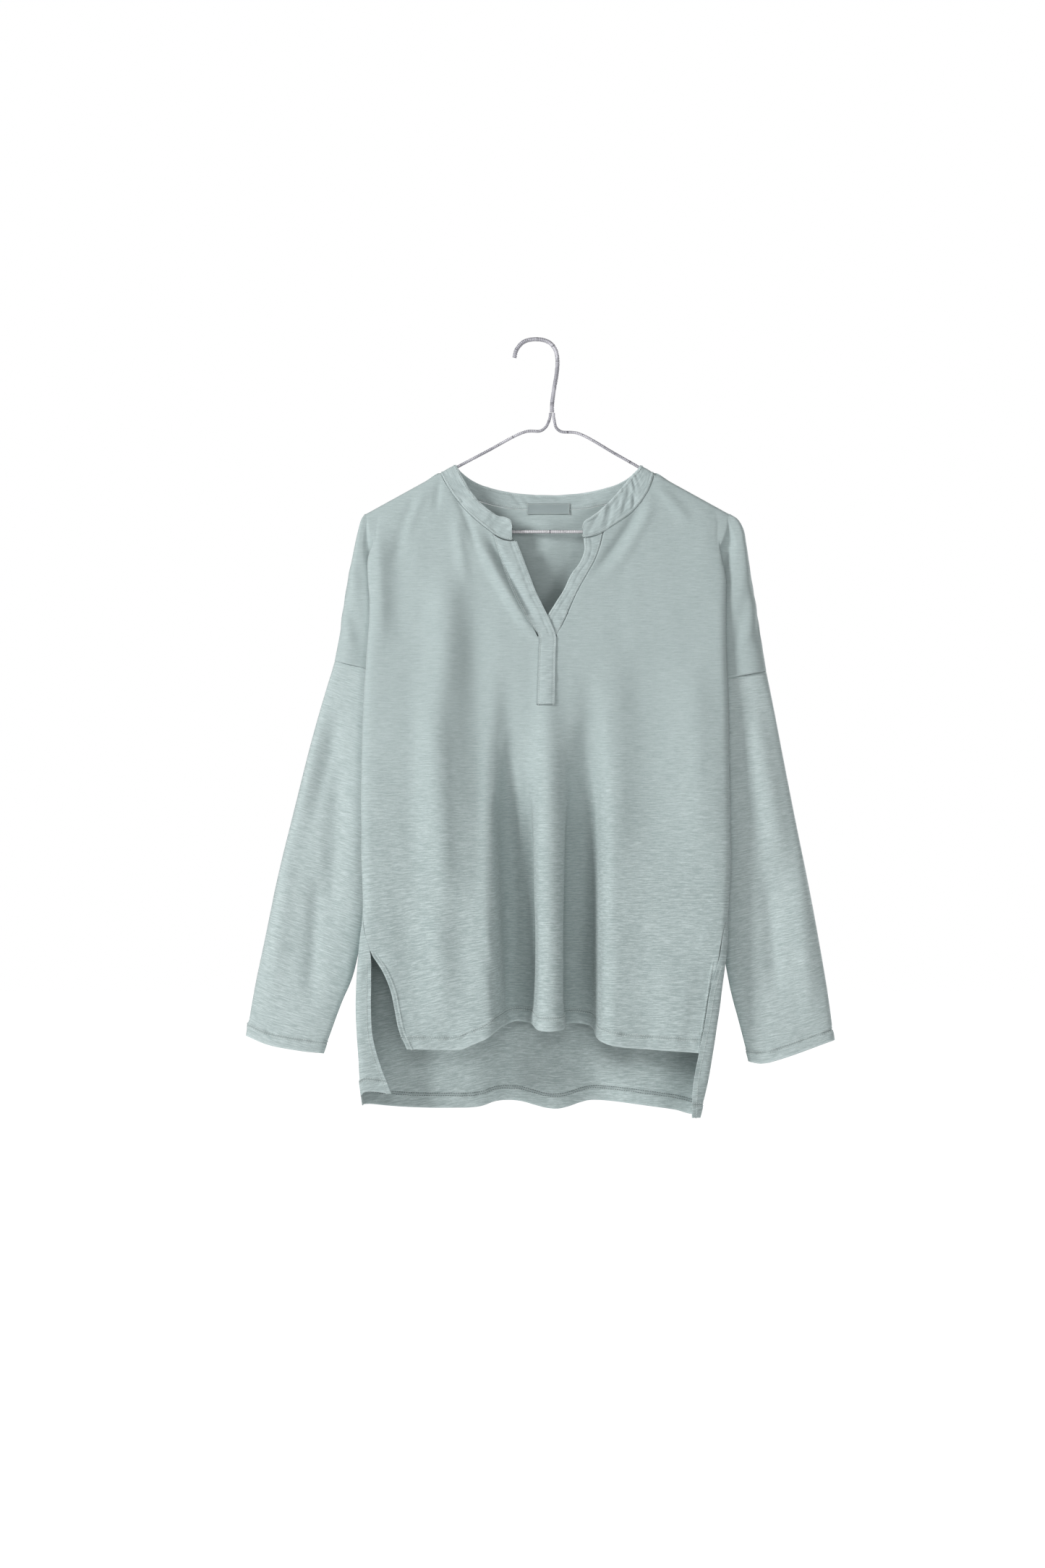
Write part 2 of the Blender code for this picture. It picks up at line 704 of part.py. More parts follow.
def flat_outward(side, panel, share, height):
    """Outward distance of a flat column, by its share of the panel's flat width."""
    inner = inner_edge(side, panel, height)
    if panel == "front":
        outer = front_edge(side, height) - front_span(side, height)
    else:
        outer = along(SIDE[side], "fold", height) - 0.024
    return inner + share * (outer - inner)


def flat_column(side, panel, share, top_outward, top):
    """One column of a panel's flat, from its top edge to its hem."""
    sign = SIGN[side]
    rows = FRONT_HEM if panel == "front" else BACK_HEM
    hem_outward = flat_outward(side, panel, share, rows["height"].min())
    hem = float(along(rows, "height", sign * float(hem_outward)))
    heights = row_heights(side, top, ARMHOLE[side]["valley"], hem)
    left_above = np.clip((heights - NOTCH_BOTTOM) / (top - NOTCH_BOTTOM), 0.0, 1.0)
    shift = top_outward - float(flat_outward(side, panel, share, top))
    haste = 1 + 20 * max(share - 0.62, 0.0)
    across = sign * (flat_outward(side, panel, share, heights) + shift * left_above**haste)
    y = -front_depth(across, heights) if panel == "front" else back_depth(across, heights)
    return np.stack([across, y, heights], axis=1)


def side_column(side, panel, share, edge_shift, top_outward):
    """One column of a panel's side, by its share of the way to the side seam."""
    hem = float(side_hem(side, panel, share))
    heights = row_heights(side, ridge(top_outward), ARMHOLE[side]["valley"], hem)
    column = []
    for height in heights:
        if panel == "front" and height < SLIT_TOP[side] - 1e-9:
            outward, y = slit_point(side, share, edge_shift, height)
        else:
            seam = float(along(SIDE_SEAM, "place", height)) if height > SLIT_TOP[side] + 1e-9 else 0.0
            last = seam if panel == "front" else 10.0 - seam
            wide_turn = float(rise(height, ARMHOLE[side]["valley"] - 0.02, ARMHOLE[side]["valley"] + 0.02))
            path = side_path(side, panel, height)
            shift = edge_shift
            if edge_shift < -0.0005:
                before = on_path(path, (1 - 1 / SIDE_CELLS[panel]) * (last + 1) - 1)
                shift = -min(0.0009 + 0.0012 * wide_turn, 0.5 * math.dist(before, on_path(path, last)))
            point = on_path(path, share * (last + 1) - 1, shift=shift)
            outward, y = rolled(panel, top_outward, height, point)
        column.append((SIGN[side] * outward, y, height))
    return np.array(column)


def slit_point(side, share, edge_shift, height):
    """A point of the front beside the slit, which draws back from the strip behind it."""
    way = float(rise(SLIT_TOP[side] - height, 0.0, 0.020))
    span = float(front_span(side, height))
    outward = float(front_edge(side, height)) - span * (1 - share) + edge_shift
    flat = float(front_depth(np.array([SIGN[side] * outward]), np.array([height]))[0])
    top = float(along(BACK_STRIP[side], "depth", SLIT_TOP[side]))
    return outward, -(top + (flat - SLIT_RECESS[side] * share - top) * way)


def drop_column(side, panel, index, top_outward):
    """One column of the dropped shoulder, from the hanger's arm to the armhole."""
    armhole = ARMHOLE[side]
    end = armhole["valley"] + (armhole["outer"] - armhole["valley"]) * DROP_SHARES[index]
    heights = row_heights(side, ridge(top_outward), end, SLIT_TOP[side] - 0.1)
    column = []
    for height in heights:
        outward, y = drop_path(side, height)[index]
        point = (outward, y if panel == "front" else -y)
        outward, y = rolled(panel, top_outward, height, point, DROP_ROLLS[index])
        column.append((SIGN[side] * outward, y, height))
    return np.array(column)


def side_hem(side, panel, share):
    """Hem height of a side column."""
    if panel == "front":
        edge = FRONT_SLIT[side]["edge"][-1]
        return along(FRONT_HEM, "height", SIGN[side] * (edge - 0.030 * (1 - share)))
    at_fold = along(BACK_HEM, "height", SIGN[side] * SIDE[side]["fold"][-1])
    return at_fold + (STRIP_HEM[side] - at_fold) * rise(share, 0.45, 1.0)


def half_panel(side, panel):
    """Grid of points of one half of a panel, from its middle to its outer edge."""
    neck = FRONT_NECK[side] if panel == "front" else BACK_NECK
    tops = list(zip(*neckline_points(neck, NECK_PLACES[panel])))
    for share in ARM_SHARES[panel]:
        outward = NECK_POINT + (FLAT_TOP - NECK_POINT) * (share - 0.62) / 0.38
        tops.append((outward, ridge(outward)))
    shares = NECK_SHARES[panel] + ARM_SHARES[panel]
    columns = [flat_column(side, panel, share, *top) for share, top in zip(shares, tops)]

    regular = SIDE_CELLS[panel]
    side_shares = [(step / regular, 0.0) for step in range(1, regular)] + [(1.0, -0.0009), (1.0, -0.0003)]
    for step, (share, shift) in enumerate(side_shares):
        top_outward = FLAT_TOP + (VALLEY_TOP - FLAT_TOP) * (step + 1) / len(side_shares)
        columns.append(side_column(side, panel, share, shift, top_outward))
    for index in range(1, len(DROP_SHARES)):
        top_outward = VALLEY_TOP + (DROP_TOP - VALLEY_TOP) * DROP_TOPS[index]
        columns.append(drop_column(side, panel, index, top_outward))
    return np.stack(columns, axis=1)


def whole_panel(panel):
    """Both halves of a panel joined at its middle, and which of its cells are cut away."""
    left, right = half_panel("left", panel), half_panel("right", panel)
    rows, columns = left.shape[:2]
    notch_row = len(TOP_DROPS) - 1 + ROW_COUNTS[0]
    armhole_row = notch_row + ROW_COUNTS[1]
    if panel == "front":
        shares = np.arange(1, PLEAT_CELLS)[None, :, None] / PLEAT_CELLS
        middle = left[:, :1] * (1 - shares) + right[:, :1] * shares
        across, height = middle[..., 0], middle[..., 2]
        hem = along(FRONT_HEM, "height", across[-1])
        start, end = height[notch_row], height[-1]
        below = start + (hem - start) * (height - start) / (end - start)
        middle[..., 2] = np.where(height < start, below, height)
        middle[..., 1] = -front_depth(across, middle[..., 2])
        points = np.concatenate([left[:, ::-1], middle, right], axis=1)
    else:
        points = np.concatenate([left[:, ::-1], right[:, 1:]], axis=1)
    gone = np.zeros((rows - 1, points.shape[1] - 1), bool)
    drop_cells = len(DROP_SHARES) - 1
    gone[armhole_row:, :drop_cells] = True
    gone[armhole_row:, -drop_cells:] = True
    if panel == "front":
        gone[:notch_row, columns - 1 : columns - 1 + PLEAT_CELLS] = True
    return points, gone


def armhole_edge(side):
    """Points (outward, y, height) along the front of the armhole, from the valley to the outer edge."""
    armhole = ARMHOLE[side]
    edge = []
    for index, share in enumerate(DROP_SHARES):
        height = armhole["valley"] + (armhole["outer"] - armhole["valley"]) * share
        outward, y = drop_path(side, height)[index]
        edge.append((outward, y, height))
    return np.array(edge)


def sleeve_points(side):
    """Rings of a sleeve from the armhole to the cuff; each starts and ends at the underarm seam."""
    sign, rows = SIGN[side], SLEEVE[side]
    edge = armhole_edge(side)
    edge_share = (edge[:, 0] - edge[0, 0]) / (edge[-1, 0] - edge[0, 0])
    edge_share = edge_share + np.arange(len(edge_share)) * 1e-6
    angles = np.linspace(0.0, 2 * math.pi, SLEEVE_CELLS + 1)
    front = np.sin(angles) > 0.01
    behind = np.sin(angles) < -0.01
    rings = []
    for place in SLEEVE_PLACES:
        outer, outer_height, inner, inner_height, thickness, back = (
            float(along(rows, name, place)) for name in rows.dtype.names[1:]
        )
        share = (1 - np.cos(angles)) / 2
        follow = float(1 - rise(place, 0.0, 0.12))
        outward = inner + (outer - inner) * share
        height = inner_height + (outer_height - inner_height) * share
        height = height - along(CUFF_SAG[side], "sag", share) * float(rise(place, 0.86, 1.0))
        seam_height = np.interp(share, edge_share, edge[:, 2]) - SEAM_GAP - 0.0002
        seam_y = np.interp(share, edge_share, np.abs(edge[:, 1]))
        seam_y = np.maximum(seam_y, 0.0014 * np.clip(share / 0.02, 0.0, 1.0))
        side_y = np.where(front, -1.0, np.where(behind, 1.0, 0.0))
        y = (back - thickness * np.sin(angles)) * (1 - follow) + side_y * seam_y * follow
        if place == 0.0:
            height = seam_height
            outward = np.interp(share, edge_share, edge[:, 0]) + 0.0015 * (1 - share)
        rings.append(np.stack([sign * outward, y, height], axis=1))
    return np.array(rings)


def collar_points():
    """Grid of the collar band, seam edge first, round the neck from the left front end."""
    stations = []
    for side in ("left", "right"):
        extra = COLLAR_TOP[side]["outward"][-1] - COLLAR_TOP_BACK["outward"][-1]
        chain = []
        for row in COLLAR_END[side][:3]:
            low, high = (row["outward"], row["height"]), (row["top_outward"], row["top_height"])
            chain.append((SIGN[side], low, high, "front", 0.0))
        for place in NECK_PLACES["front"]:
            low = [float(value) for value in neckline_points(FRONT_NECK[side], place)]
            high = [float(along(COLLAR_TOP[side], name, place)) for name in ("outward", "height")]
            chain.append((SIGN[side], low, high, "front" if place < 1 else "ridge", 0.0))
        for place in NECK_PLACES["back"][-2::-1]:
            low = [float(value) for value in neckline_points(BACK_NECK, place)]
            outward, height, lean = (
                float(along(COLLAR_TOP_BACK, name, place)) for name in ("outward", "height", "lean")
            )
            high = (outward + extra * place, height - SHOULDER_SLOPE * extra * place)
            chain.append((SIGN[side], low, high, "back", lean))
        stations += chain if side == "left" else chain[-2::-1]
    grid = np.zeros((4, len(stations), 3))
    for column, (sign, low, high, panel, lean) in enumerate(stations):
        length = math.dist(low, high)
        for row, share in enumerate((SEAM_GAP / length, 1 / 3, 2 / 3, 1.0)):
            outward = low[0] + (high[0] - low[0]) * share
            height = low[1] + (high[1] - low[1]) * share
            y = 0.0
            if panel != "ridge":
                y = float(stand_off(outward, height, panel)) + lean * share
                y = -y if panel == "front" else y
            grid[row, column] = (sign * outward, y, height)
    return grid


def notch_heights(side):
    """Heights of the rows of the front's edge beside the notch."""
    heights = row_heights(side, FRONT_NECK[side]["height"][0], ARMHOLE[side]["valley"], -0.8)
    notch_row = len(TOP_DROPS) - 1 + ROW_COUNTS[0]
    return np.concatenate([heights[:1], heights[3 : notch_row + 1]])


def strip_grid(side, heights, outer, inner, out, columns=4):
    """Grid of a placket strip at a distance out from the front; its top edge follows the collar's seam."""
    rows = []
    for height in heights:
        across = np.linspace(outer(height), inner(height), columns)
        for _ in range(3):
            under_seam = along(COLLAR_END[side], "height", np.abs(across)) - SEAM_GAP - 0.0004
            level = height + (under_seam - heights[0]) * (1 - rise(heights[0] - height, 0.0, 0.04))
            across = np.linspace(outer(level[0]), inner(level[-1]), columns)
        rows.append(np.stack([across, -front_depth(across, level) - out, level], axis=1))
    return np.array(rows)


def build_placket():
    below_notch = np.linspace(NOTCH_BOTTOM, RECTANGLE_BOTTOM, 6)[1:]
    top_heights = np.concatenate([notch_heights("left"), below_notch])

    def top_outer(height):
        notch = -float(along(NOTCH["left"], "panel", height)) - 0.0015
        below = float(along(RECTANGLE, "left", height))
        return notch if height > NOTCH_BOTTOM + 1e-6 else below

    def top_inner(height):
        notch = -float(along(NOTCH["left"], "strip", height))
        below = float(along(RECTANGLE, "right", height))
        return notch if height > NOTCH_BOTTOM + 1e-6 else below

    cloth_from("placket_top", strip_grid("left", top_heights, top_outer, top_inner, OVERLAY), jersey)

    under_heights = notch_heights("right")
    under_heights[-1] += 0.0012

    def under_outer(height):
        return float(along(NOTCH["right"], "panel", height)) - SEAM_GAP

    def under_inner(height):
        return float(along(NOTCH["right"], "strip", height))

    cloth_from("placket_under", strip_grid("right", under_heights, under_outer, under_inner, 0.0), jersey)


def build_label():
    """The label lies on the inside of the back neck, moved in from the band and the back."""
    across = np.linspace(LABEL_LEFT, LABEL_RIGHT, 5)
    rows = []
    for height in np.linspace(LABEL_TOP, LABEL_BOTTOM, 3):
        level = np.full(5, height)
        seam = along(BACK_NECK, "height", np.abs(across))
        lean = 0.0092 * np.clip((level - seam) / 0.018, 0.0, 1.0)
        y = stand_off(np.abs(across), level, "back") + lean - CLOTH - 2 * SEAM_GAP
        rows.append(np.stack([across, y, level], axis=1))
    cloth_from("neck_label", np.array(rows), label)


def wire(name, route, radius, material, count):
    """A bent wire: a bevelled curve through a smooth line on its route."""
    route = np.array(route)
    fine = on_path(route, np.linspace(0, len(route) - 1, 40 * len(route)), first=0.0)
    steps = np.diff(fine, axis=0)
    heading = np.unwrap(np.arctan2(steps[:, 1], steps[:, 0]))
    turning = np.abs(np.diff(heading, prepend=heading[0]))
    effort = np.linalg.norm(steps, axis=1) / 0.05 + turning / 0.2
    length = np.concatenate([[0.0], np.cumsum(effort)])
    at = np.linspace(0.0, length[-1], count)
    curve = bpy.data.curves.new(name, "CURVE")
    curve.dimensions = "3D"
    curve.bevel_depth = radius
    curve.bevel_resolution = 2
    curve.use_fill_caps = True
    spline = curve.splines.new("POLY")
    spline.points.add(count - 1)
    for index, place in enumerate(at):
        x, z = (float(np.interp(place, length, fine[:, axis])) for axis in (0, 1))
        spline.points[index].co = (x, 0.0, z, 1.0)
    curve.materials.append(material)
    piece = bpy.data.objects.new(name, curve)
    piece.location.x = CENTRE_X
    shirt.objects.link(piece)
    return piece


def corner_height():
    """Height of the centre of the arc that joins an arm to the bar."""
    return arm_point(1, HALF_SPAN - CORNER_RADIUS)[1] - CORNER_RADIUS / ARM_COSINE


def hanger_corner(sign):
    """Points of the arc that joins an arm to the bar, from the arm down."""
    centre_x = HALF_SPAN - CORNER_RADIUS
    centre_z = corner_height()
    start = math.atan2(1.0, SHOULDER_SLOPE)
    angles = np.linspace(start, -math.pi / 2, 7)
    arc = [(centre_x + CORNER_RADIUS * math.cos(a), centre_z + CORNER_RADIUS * math.sin(a)) for a in angles]
    return [(sign * x, z) for x, z in arc]


def arm_point(sign, outward):
    return sign * outward, ridge(outward) - RIDGE_RADIUS / ARM_COSINE


def build_hanger():
    left_end = [(0.0033, -0.0806), (0.0030, -0.0850), (0.0012, -0.0910), (-0.0022, -0.0970)]
    right_end = [(0.0069, -0.0806), (0.0071, -0.0850), (0.0081, -0.0905), (0.0098, -0.0970)]
    left_end.append((-0.0080, -0.1010))
    right_end.append((0.0150, -0.1015))
    left_end.append((-0.0245, -0.1018))
    right_end.append((0.0342, -0.1036))
    left_arm = [arm_point(-1, outward) for outward in (0.1209, 0.138, 0.155, 0.172, 0.189)]
    right_arm = [arm_point(1, outward) for outward in (0.1209, 0.138, 0.155, 0.172, 0.189)]
    bar = [(x, corner_height() - CORNER_RADIUS) for x in np.linspace(-0.165, 0.165, 8)]
    route = left_end + [(-0.070, -0.1249)] + left_arm + hanger_corner(-1) + bar
    route += hanger_corner(1)[::-1] + right_arm[::-1] + [(0.078, -0.1276)] + right_end[::-1]
    wire("hanger_frame", route, WIRE_RADIUS, steel, 76)
    hook = [
        (-0.0372, -0.0185),
        (-0.0345, -0.0090),
        (-0.0262, -0.0003),
        (-0.0110, HOOK_RADIUS),
        (0.0020, -0.0012),
        (0.0090, -0.0095),
        (0.0114, -0.0212),
        (0.0106, -0.0350),
        (0.0073, -0.0554),
        (0.0054, -0.0700),
        (0.0052, -0.0800),
    ]
    wire("hanger_hook", hook, HOOK_RADIUS, steel, 34)


for old in list(bpy.data.objects):
    bpy.data.objects.remove(old, do_unlink=True)
shirt = collection_for("henley t-shirt on a wire hanger")
jersey = material_for("jersey", 0.85, 0.0)
label = material_for("label", 0.8, 0.0)
steel = material_for("wire", 0.45, 0.3)

for panel_name in ("front", "back"):
    panel_points, panel_gone = whole_panel(panel_name)
    cloth_from(f"{panel_name}_panel", panel_points, jersey, panel_gone)
for side_name in ("left", "right"):
    cloth_from(f"sleeve_{side_name}", sleeve_points(side_name), jersey, closed=True)
cloth_from("collar_band", collar_points(), jersey)
build_placket()
build_label()
build_hanger()
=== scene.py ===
"""A henley t-shirt on a wire hanger: slub jersey with long sleeves, a band collar and a half placket.

The frame holds the solids. The origin is where the hook rests on its rail, +Z is up and the front
faces -Y. Left and right are as seen from the front, and heights are measured from the rail, in metres.
"""

import math

import bpy
import numpy as np
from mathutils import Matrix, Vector


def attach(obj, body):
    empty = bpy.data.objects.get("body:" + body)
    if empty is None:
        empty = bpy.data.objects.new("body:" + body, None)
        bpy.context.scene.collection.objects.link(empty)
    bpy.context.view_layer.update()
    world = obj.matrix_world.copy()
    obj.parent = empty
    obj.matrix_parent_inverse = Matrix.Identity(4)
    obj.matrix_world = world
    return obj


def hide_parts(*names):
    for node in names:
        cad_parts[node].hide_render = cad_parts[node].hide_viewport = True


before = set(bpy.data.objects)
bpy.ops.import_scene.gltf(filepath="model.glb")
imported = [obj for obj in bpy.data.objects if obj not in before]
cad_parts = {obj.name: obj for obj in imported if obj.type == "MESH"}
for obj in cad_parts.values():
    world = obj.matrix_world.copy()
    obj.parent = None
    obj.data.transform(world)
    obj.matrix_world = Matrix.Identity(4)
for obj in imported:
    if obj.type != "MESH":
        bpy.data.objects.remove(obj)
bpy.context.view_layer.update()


# Body panels. Front and back are cut in one width from slub jersey, with dropped shoulders. They
# lie over the hanger's arms, fold in at each side like a gusset, and are sewn at the shoulders and
# down the sides to the top of the slits.
CLOTH = 0.0010
SEAM_GAP = 0.0004
SHOULDER_GAP = 0.0005
CENTRE_X = 0.0110
SIGN = {"left": -1.0, "right": 1.0}
FORWARD = np.array([0.0, -1.0, 0.0])
WIRE_RADIUS = 0.0016
NECK_POINT = 0.1209
NECK_POINT_HEIGHT = -0.1491
SHOULDER_SLOPE = 0.551
RIDGE_RADIUS = WIRE_RADIUS + 0.0004 + CLOTH / 2
ARM_COSINE = 1 / math.hypot(1.0, SHOULDER_SLOPE)
DRAPE_LENGTH = 0.035
NOTCH_BOTTOM = -0.3330
FOLD_MARGIN = 0.012
SLIT_APPROACH = 0.050
# Drops below the arm over which a column leaves its roll, and over which the folds open
ROLL_DROP, OPENING_DROP = 0.030, 0.045
SHOULDER_END = 0.2040
# A side fold this shallow stays plain, and one this deep is folded in full
SHALLOW_FOLD, DEEP_FOLD = 0.003, 0.018
VALLEY_CLEARANCE = 0.0016
WIDEST_TURN = 0.0035
ARMHOLE_LEAD = 0.006


def table(columns, text):
    """Rows of numbers with named columns."""
    kinds = [(name, float) for name in columns.split()]
    return np.array([tuple(map(float, row.split())) for row in text.strip().splitlines()], kinds)


def both(columns, left, right):
    """The same table for the left and for the right side."""
    return {"left": table(columns, left), "right": table(columns, right)}


def hermite(start, end, leave, arrive, t):
    """A smooth way from start to end that leaves and arrives with these slopes."""
    left = 1 - t
    value = start * (1 + 2 * t) * left**2 + end * t**2 * (3 - 2 * t)
    return value + leave * t * left**2 - arrive * t**2 * left


def along(rows, column, at):
    """A column's value at a place in the first column: smooth, with no overshoot between rows."""
    x, y = rows[rows.dtype.names[0]], rows[column]
    if x[0] > x[-1]:
        x, y = x[::-1], y[::-1]
    slope = np.diff(y) / np.diff(x)
    before, after = slope[:-1], slope[1:]
    same_way = before * after > 0
    inner = np.where(same_way, 2 * before * after / np.where(same_way, before + after, 1.0), 0.0)
    tangent = np.concatenate([slope[:1], inner, slope[-1:]])
    at = np.clip(at, x[0], x[-1])
    i = np.clip(np.searchsorted(x, at) - 1, 0, len(x) - 2)
    span = x[i + 1] - x[i]
    return hermite(y[i], y[i + 1], span * tangent[i], span * tangent[i + 1], (at - x[i]) / span)


def rise(value, start, end):
    """0 before start, 1 after end, smooth between."""
    t = np.clip((value - start) / (end - start), 0.0, 1.0)
    return t * t * (3 - 2 * t)


def bell(distance, width):
    """1 at no distance, and almost 0 past twice the width."""
    return np.exp(-((distance / width) ** 2))


# How far the front and back stand from the hanger's plane
DEPTH = table("height front back", """
-0.14 0.008 0.01
-0.2 0.0105 0.014
-0.25 0.015 0.016
-0.333 0.02 0.018
-0.41 0.024 0.0205
-0.6 0.032 0.027
-0.8 0.04 0.033
-0.875 0.042 0.035
""")
# Where the cloth folds back at each side of the body, and how far in the valley behind it reaches
SIDE = both("height fold valley", """
-0.1908 0.1965 0.199
-0.197 0.201 0.2025
-0.2046 0.2021 0.202
-0.2347 0.2036 0.193
-0.3016 0.1997 0.161
-0.3407 0.2021 0.145
-0.3855 0.2052 0.128
-0.4727 0.2086 0.148
-0.5607 0.2091 0.172
-0.634 0.207 0.1935
-0.6865 0.212 0.2095
-0.7074 0.214 0.2125
-0.7502 0.2152 0.214
-0.7848 0.2139 0.2127
-0.8174 0.2119 0.2107
-0.8615 0.2081 0.207
""", """
-0.1908 0.1965 0.199
-0.197 0.201 0.203
-0.2046 0.202 0.202
-0.2347 0.2005 0.193
-0.3016 0.2005 0.161
-0.3407 0.2005 0.144
-0.3936 0.2025 0.1263
-0.4727 0.204 0.1425
-0.577 0.2054 0.166
-0.6365 0.2029 0.1795
-0.6879 0.2015 0.193
-0.7074 0.1985 0.1965
-0.7332 0.1946 0.1935
-0.7668 0.1897 0.1886
-0.8003 0.1848 0.1837
-0.8419 0.1778 0.1767
-0.8729 0.1699 0.1688
""")
# Outer edge of the dropped shoulder, where it hangs down from the hanger's corner
DROP = table("height left right", """
-0.1961 0.2062 0.2066
-0.1985 0.208 0.2115
-0.2011 0.2094 0.2143
-0.2093 0.2118 0.2194
-0.2164 0.2137 0.2216
-0.2347 0.2176 0.2246
-0.2738 0.2249 0.2303
-0.3325 0.2339 0.2396
-0.3619 0.2396 0.2446
-0.3716 0.241 0.2461
""")
ARMHOLE = {
    "left": {"outer": -0.3602, "valley": -0.3855},
    "right": {"outer": -0.3716, "valley": -0.3936},
}
# Half thickness of the dropped shoulder at a third, two thirds and nearly all of its width
DROP_THICKNESS = {"left": (0.0030, 0.0060, 0.0045), "right": (0.0025, 0.0085, 0.0065)}
# The side seam's place on the side's path: 5 is the valley, 2 the fold, 0 the front
SIDE_SEAM = table("height place", """
-0.53 5
-0.58 3.5
-0.634 2
-0.66 1
-0.69 0
""")
SLIT_TOP = {"left": -0.6870, "right": -0.6956}
FRONT_SLIT = both("height edge", """
-0.687 0.1985
-0.6993 0.1891
-0.7193 0.1809
-0.7311 0.176
-0.7547 0.1711
-0.7707 0.1682
-0.7824 0.1632
-0.796 0.1575
""", """
-0.6956 0.1915
-0.703 0.1889
-0.7131 0.188
-0.7351 0.185
-0.7668 0.18
-0.8005 0.1745
""")
# The back's side edge, which wraps round to the front below the slit
BACK_STRIP = both("height edge depth", """
-0.687 0.1985 0.0345
-0.7332 0.1972 0.03
-0.7547 0.1978 0.028
-0.7944 0.194 0.024
-0.8181 0.186 0.018
-0.8468 0.1752 0.01
-0.8615 0.172 0.008
""", """
-0.6956 0.1915 0.036
-0.703 0.1901 0.0368
-0.7131 0.1848 0.0385
-0.7351 0.1813 0.0405
-0.7668 0.1758 0.0425
-0.7885 0.1709 0.0435
-0.8043 0.1683 0.043
-0.828 0.164 0.04
-0.8537 0.161 0.036
-0.8729 0.1614 0.034
""")
# Hems, from left to right
FRONT_HEM = table("across height", """
-0.1575 -0.796
-0.1002 -0.7971
-0.0791 -0.7897
-0.0668 -0.7848
-0.0538 -0.7743
-0.0416 -0.7694
-0.0318 -0.7669
-0.0155 -0.77
-0.009 -0.7751
0.002 -0.7762
0.013 -0.7751
0.0208 -0.772
0.0293 -0.769
0.0432 -0.771
0.0497 -0.7743
0.0538 -0.7832
0.0603 -0.7881
0.0709 -0.7918
0.0872 -0.7943
0.1084 -0.796
0.1745 -0.8005
""")
BACK_HEM = table("across height", """
-0.2081 -0.8615
-0.1361 -0.8655
-0.0815 -0.8655
-0.06 -0.859
-0.0416 -0.8575
0.0098 -0.867
0.0505 -0.8575
0.1165 -0.8639
0.1703 -0.8729
""")
STRIP_HEM = {"left": -0.8468, "right": -0.8725}
# Necklines, outwards from the centre to the neck point
FRONT_NECK = both("outward height", f"""
0.0603 -0.218
0.0823 -0.2005
0.1011 -0.1804
0.1133 -0.163
{NECK_POINT} {NECK_POINT_HEIGHT}
""", f"""
0.0633 -0.2155
0.077 -0.2065
0.0935 -0.1948
0.115 -0.1667
{NECK_POINT} {NECK_POINT_HEIGHT}
""")
BACK_NECK = table("outward height", f"""
0 -0.1892
0.0264 -0.189
0.05 -0.1868
0.0738 -0.1807
0.1 -0.169
{NECK_POINT} {NECK_POINT_HEIGHT}
""")
# The V notch: its edges in the front, and the inner edges of the strips that close it
NOTCH = both("height panel strip", """
-0.218 0.0603 0.0375
-0.2551 0.0485 0.0233
-0.2861 0.0355 0.0114
-0.3119 0.0224 -0.0016
-0.333 0.0114 -0.0096
""", """
-0.2155 0.0633 0.0399
-0.24 0.0565 0.0419
-0.254 0.0495 0.0315
-0.2877 0.031 0.0144
-0.3119 0.0208 -0.0016
-0.333 0.0101 -0.008
""")
# The pleat that falls from the placket, between its two troughs
PLEAT = table("height left right trough", """
-0.333 0.0114 0.0101 0
-0.41 0.013 0.014 0.002
-0.47 0.0142 0.0175 0.012
-0.53 0.0148 0.0192 0.024
-0.6 0.015 0.02 0.034
-0.7 0.0155 0.0208 0.046
-0.8 0.0155 0.0212 0.056
""")
TROUGHS = both("height middle width", """
-0.4 0.036 0.024
-0.6 0.0345 0.021
-0.8 0.0345 0.0205
""", """
-0.4 0.043 0.026
-0.6 0.04 0.021
-0.8 0.0385 0.0185
""")
# Long soft folds of each panel: where they run, how deep they get at the hem, and where they start
FOLDS = {
    "front": table("top_across low_across width depth start end", """
-0.098 -0.11 0.022 0.0045 -0.2 -0.8
-0.135 -0.152 0.02 0.0035 -0.22 -0.6
0.09 0.108 0.026 0.0035 -0.2 -0.8
"""),
    "back": table("top_across low_across width depth start end", """
-0.03 -0.043 0.026 -0.01 -0.25 -0.87
0.03 0.05 0.026 -0.01 -0.25 -0.87
-0.095 -0.12 0.028 0.006 -0.22 -0.87
0.095 0.112 0.028 0.006 -0.22 -0.87
"""),
}
# Places along the arm where a half panel's flat, its valley and its dropped shoulder end
FLAT_TOP, VALLEY_TOP, DROP_TOP = 0.1860, 0.2016, 0.2062
# Columns of the dropped shoulder: width shares, places on the arm, and how much of the roll they take
DROP_SHARES = (0.0, 0.30, 0.66, 0.95, 1.0, 1.0)
DROP_TOPS = (0.0, 0.25, 0.50, 0.78, 0.98, 1.0)
DROP_ROLLS = (1.0, 1.0, 1.0, 0.9, 0.4, 0.0)
DROP_CELLS = len(DROP_SHARES) - 1
SLIT_RECESS = {"left": 0.0, "right": 0.003}
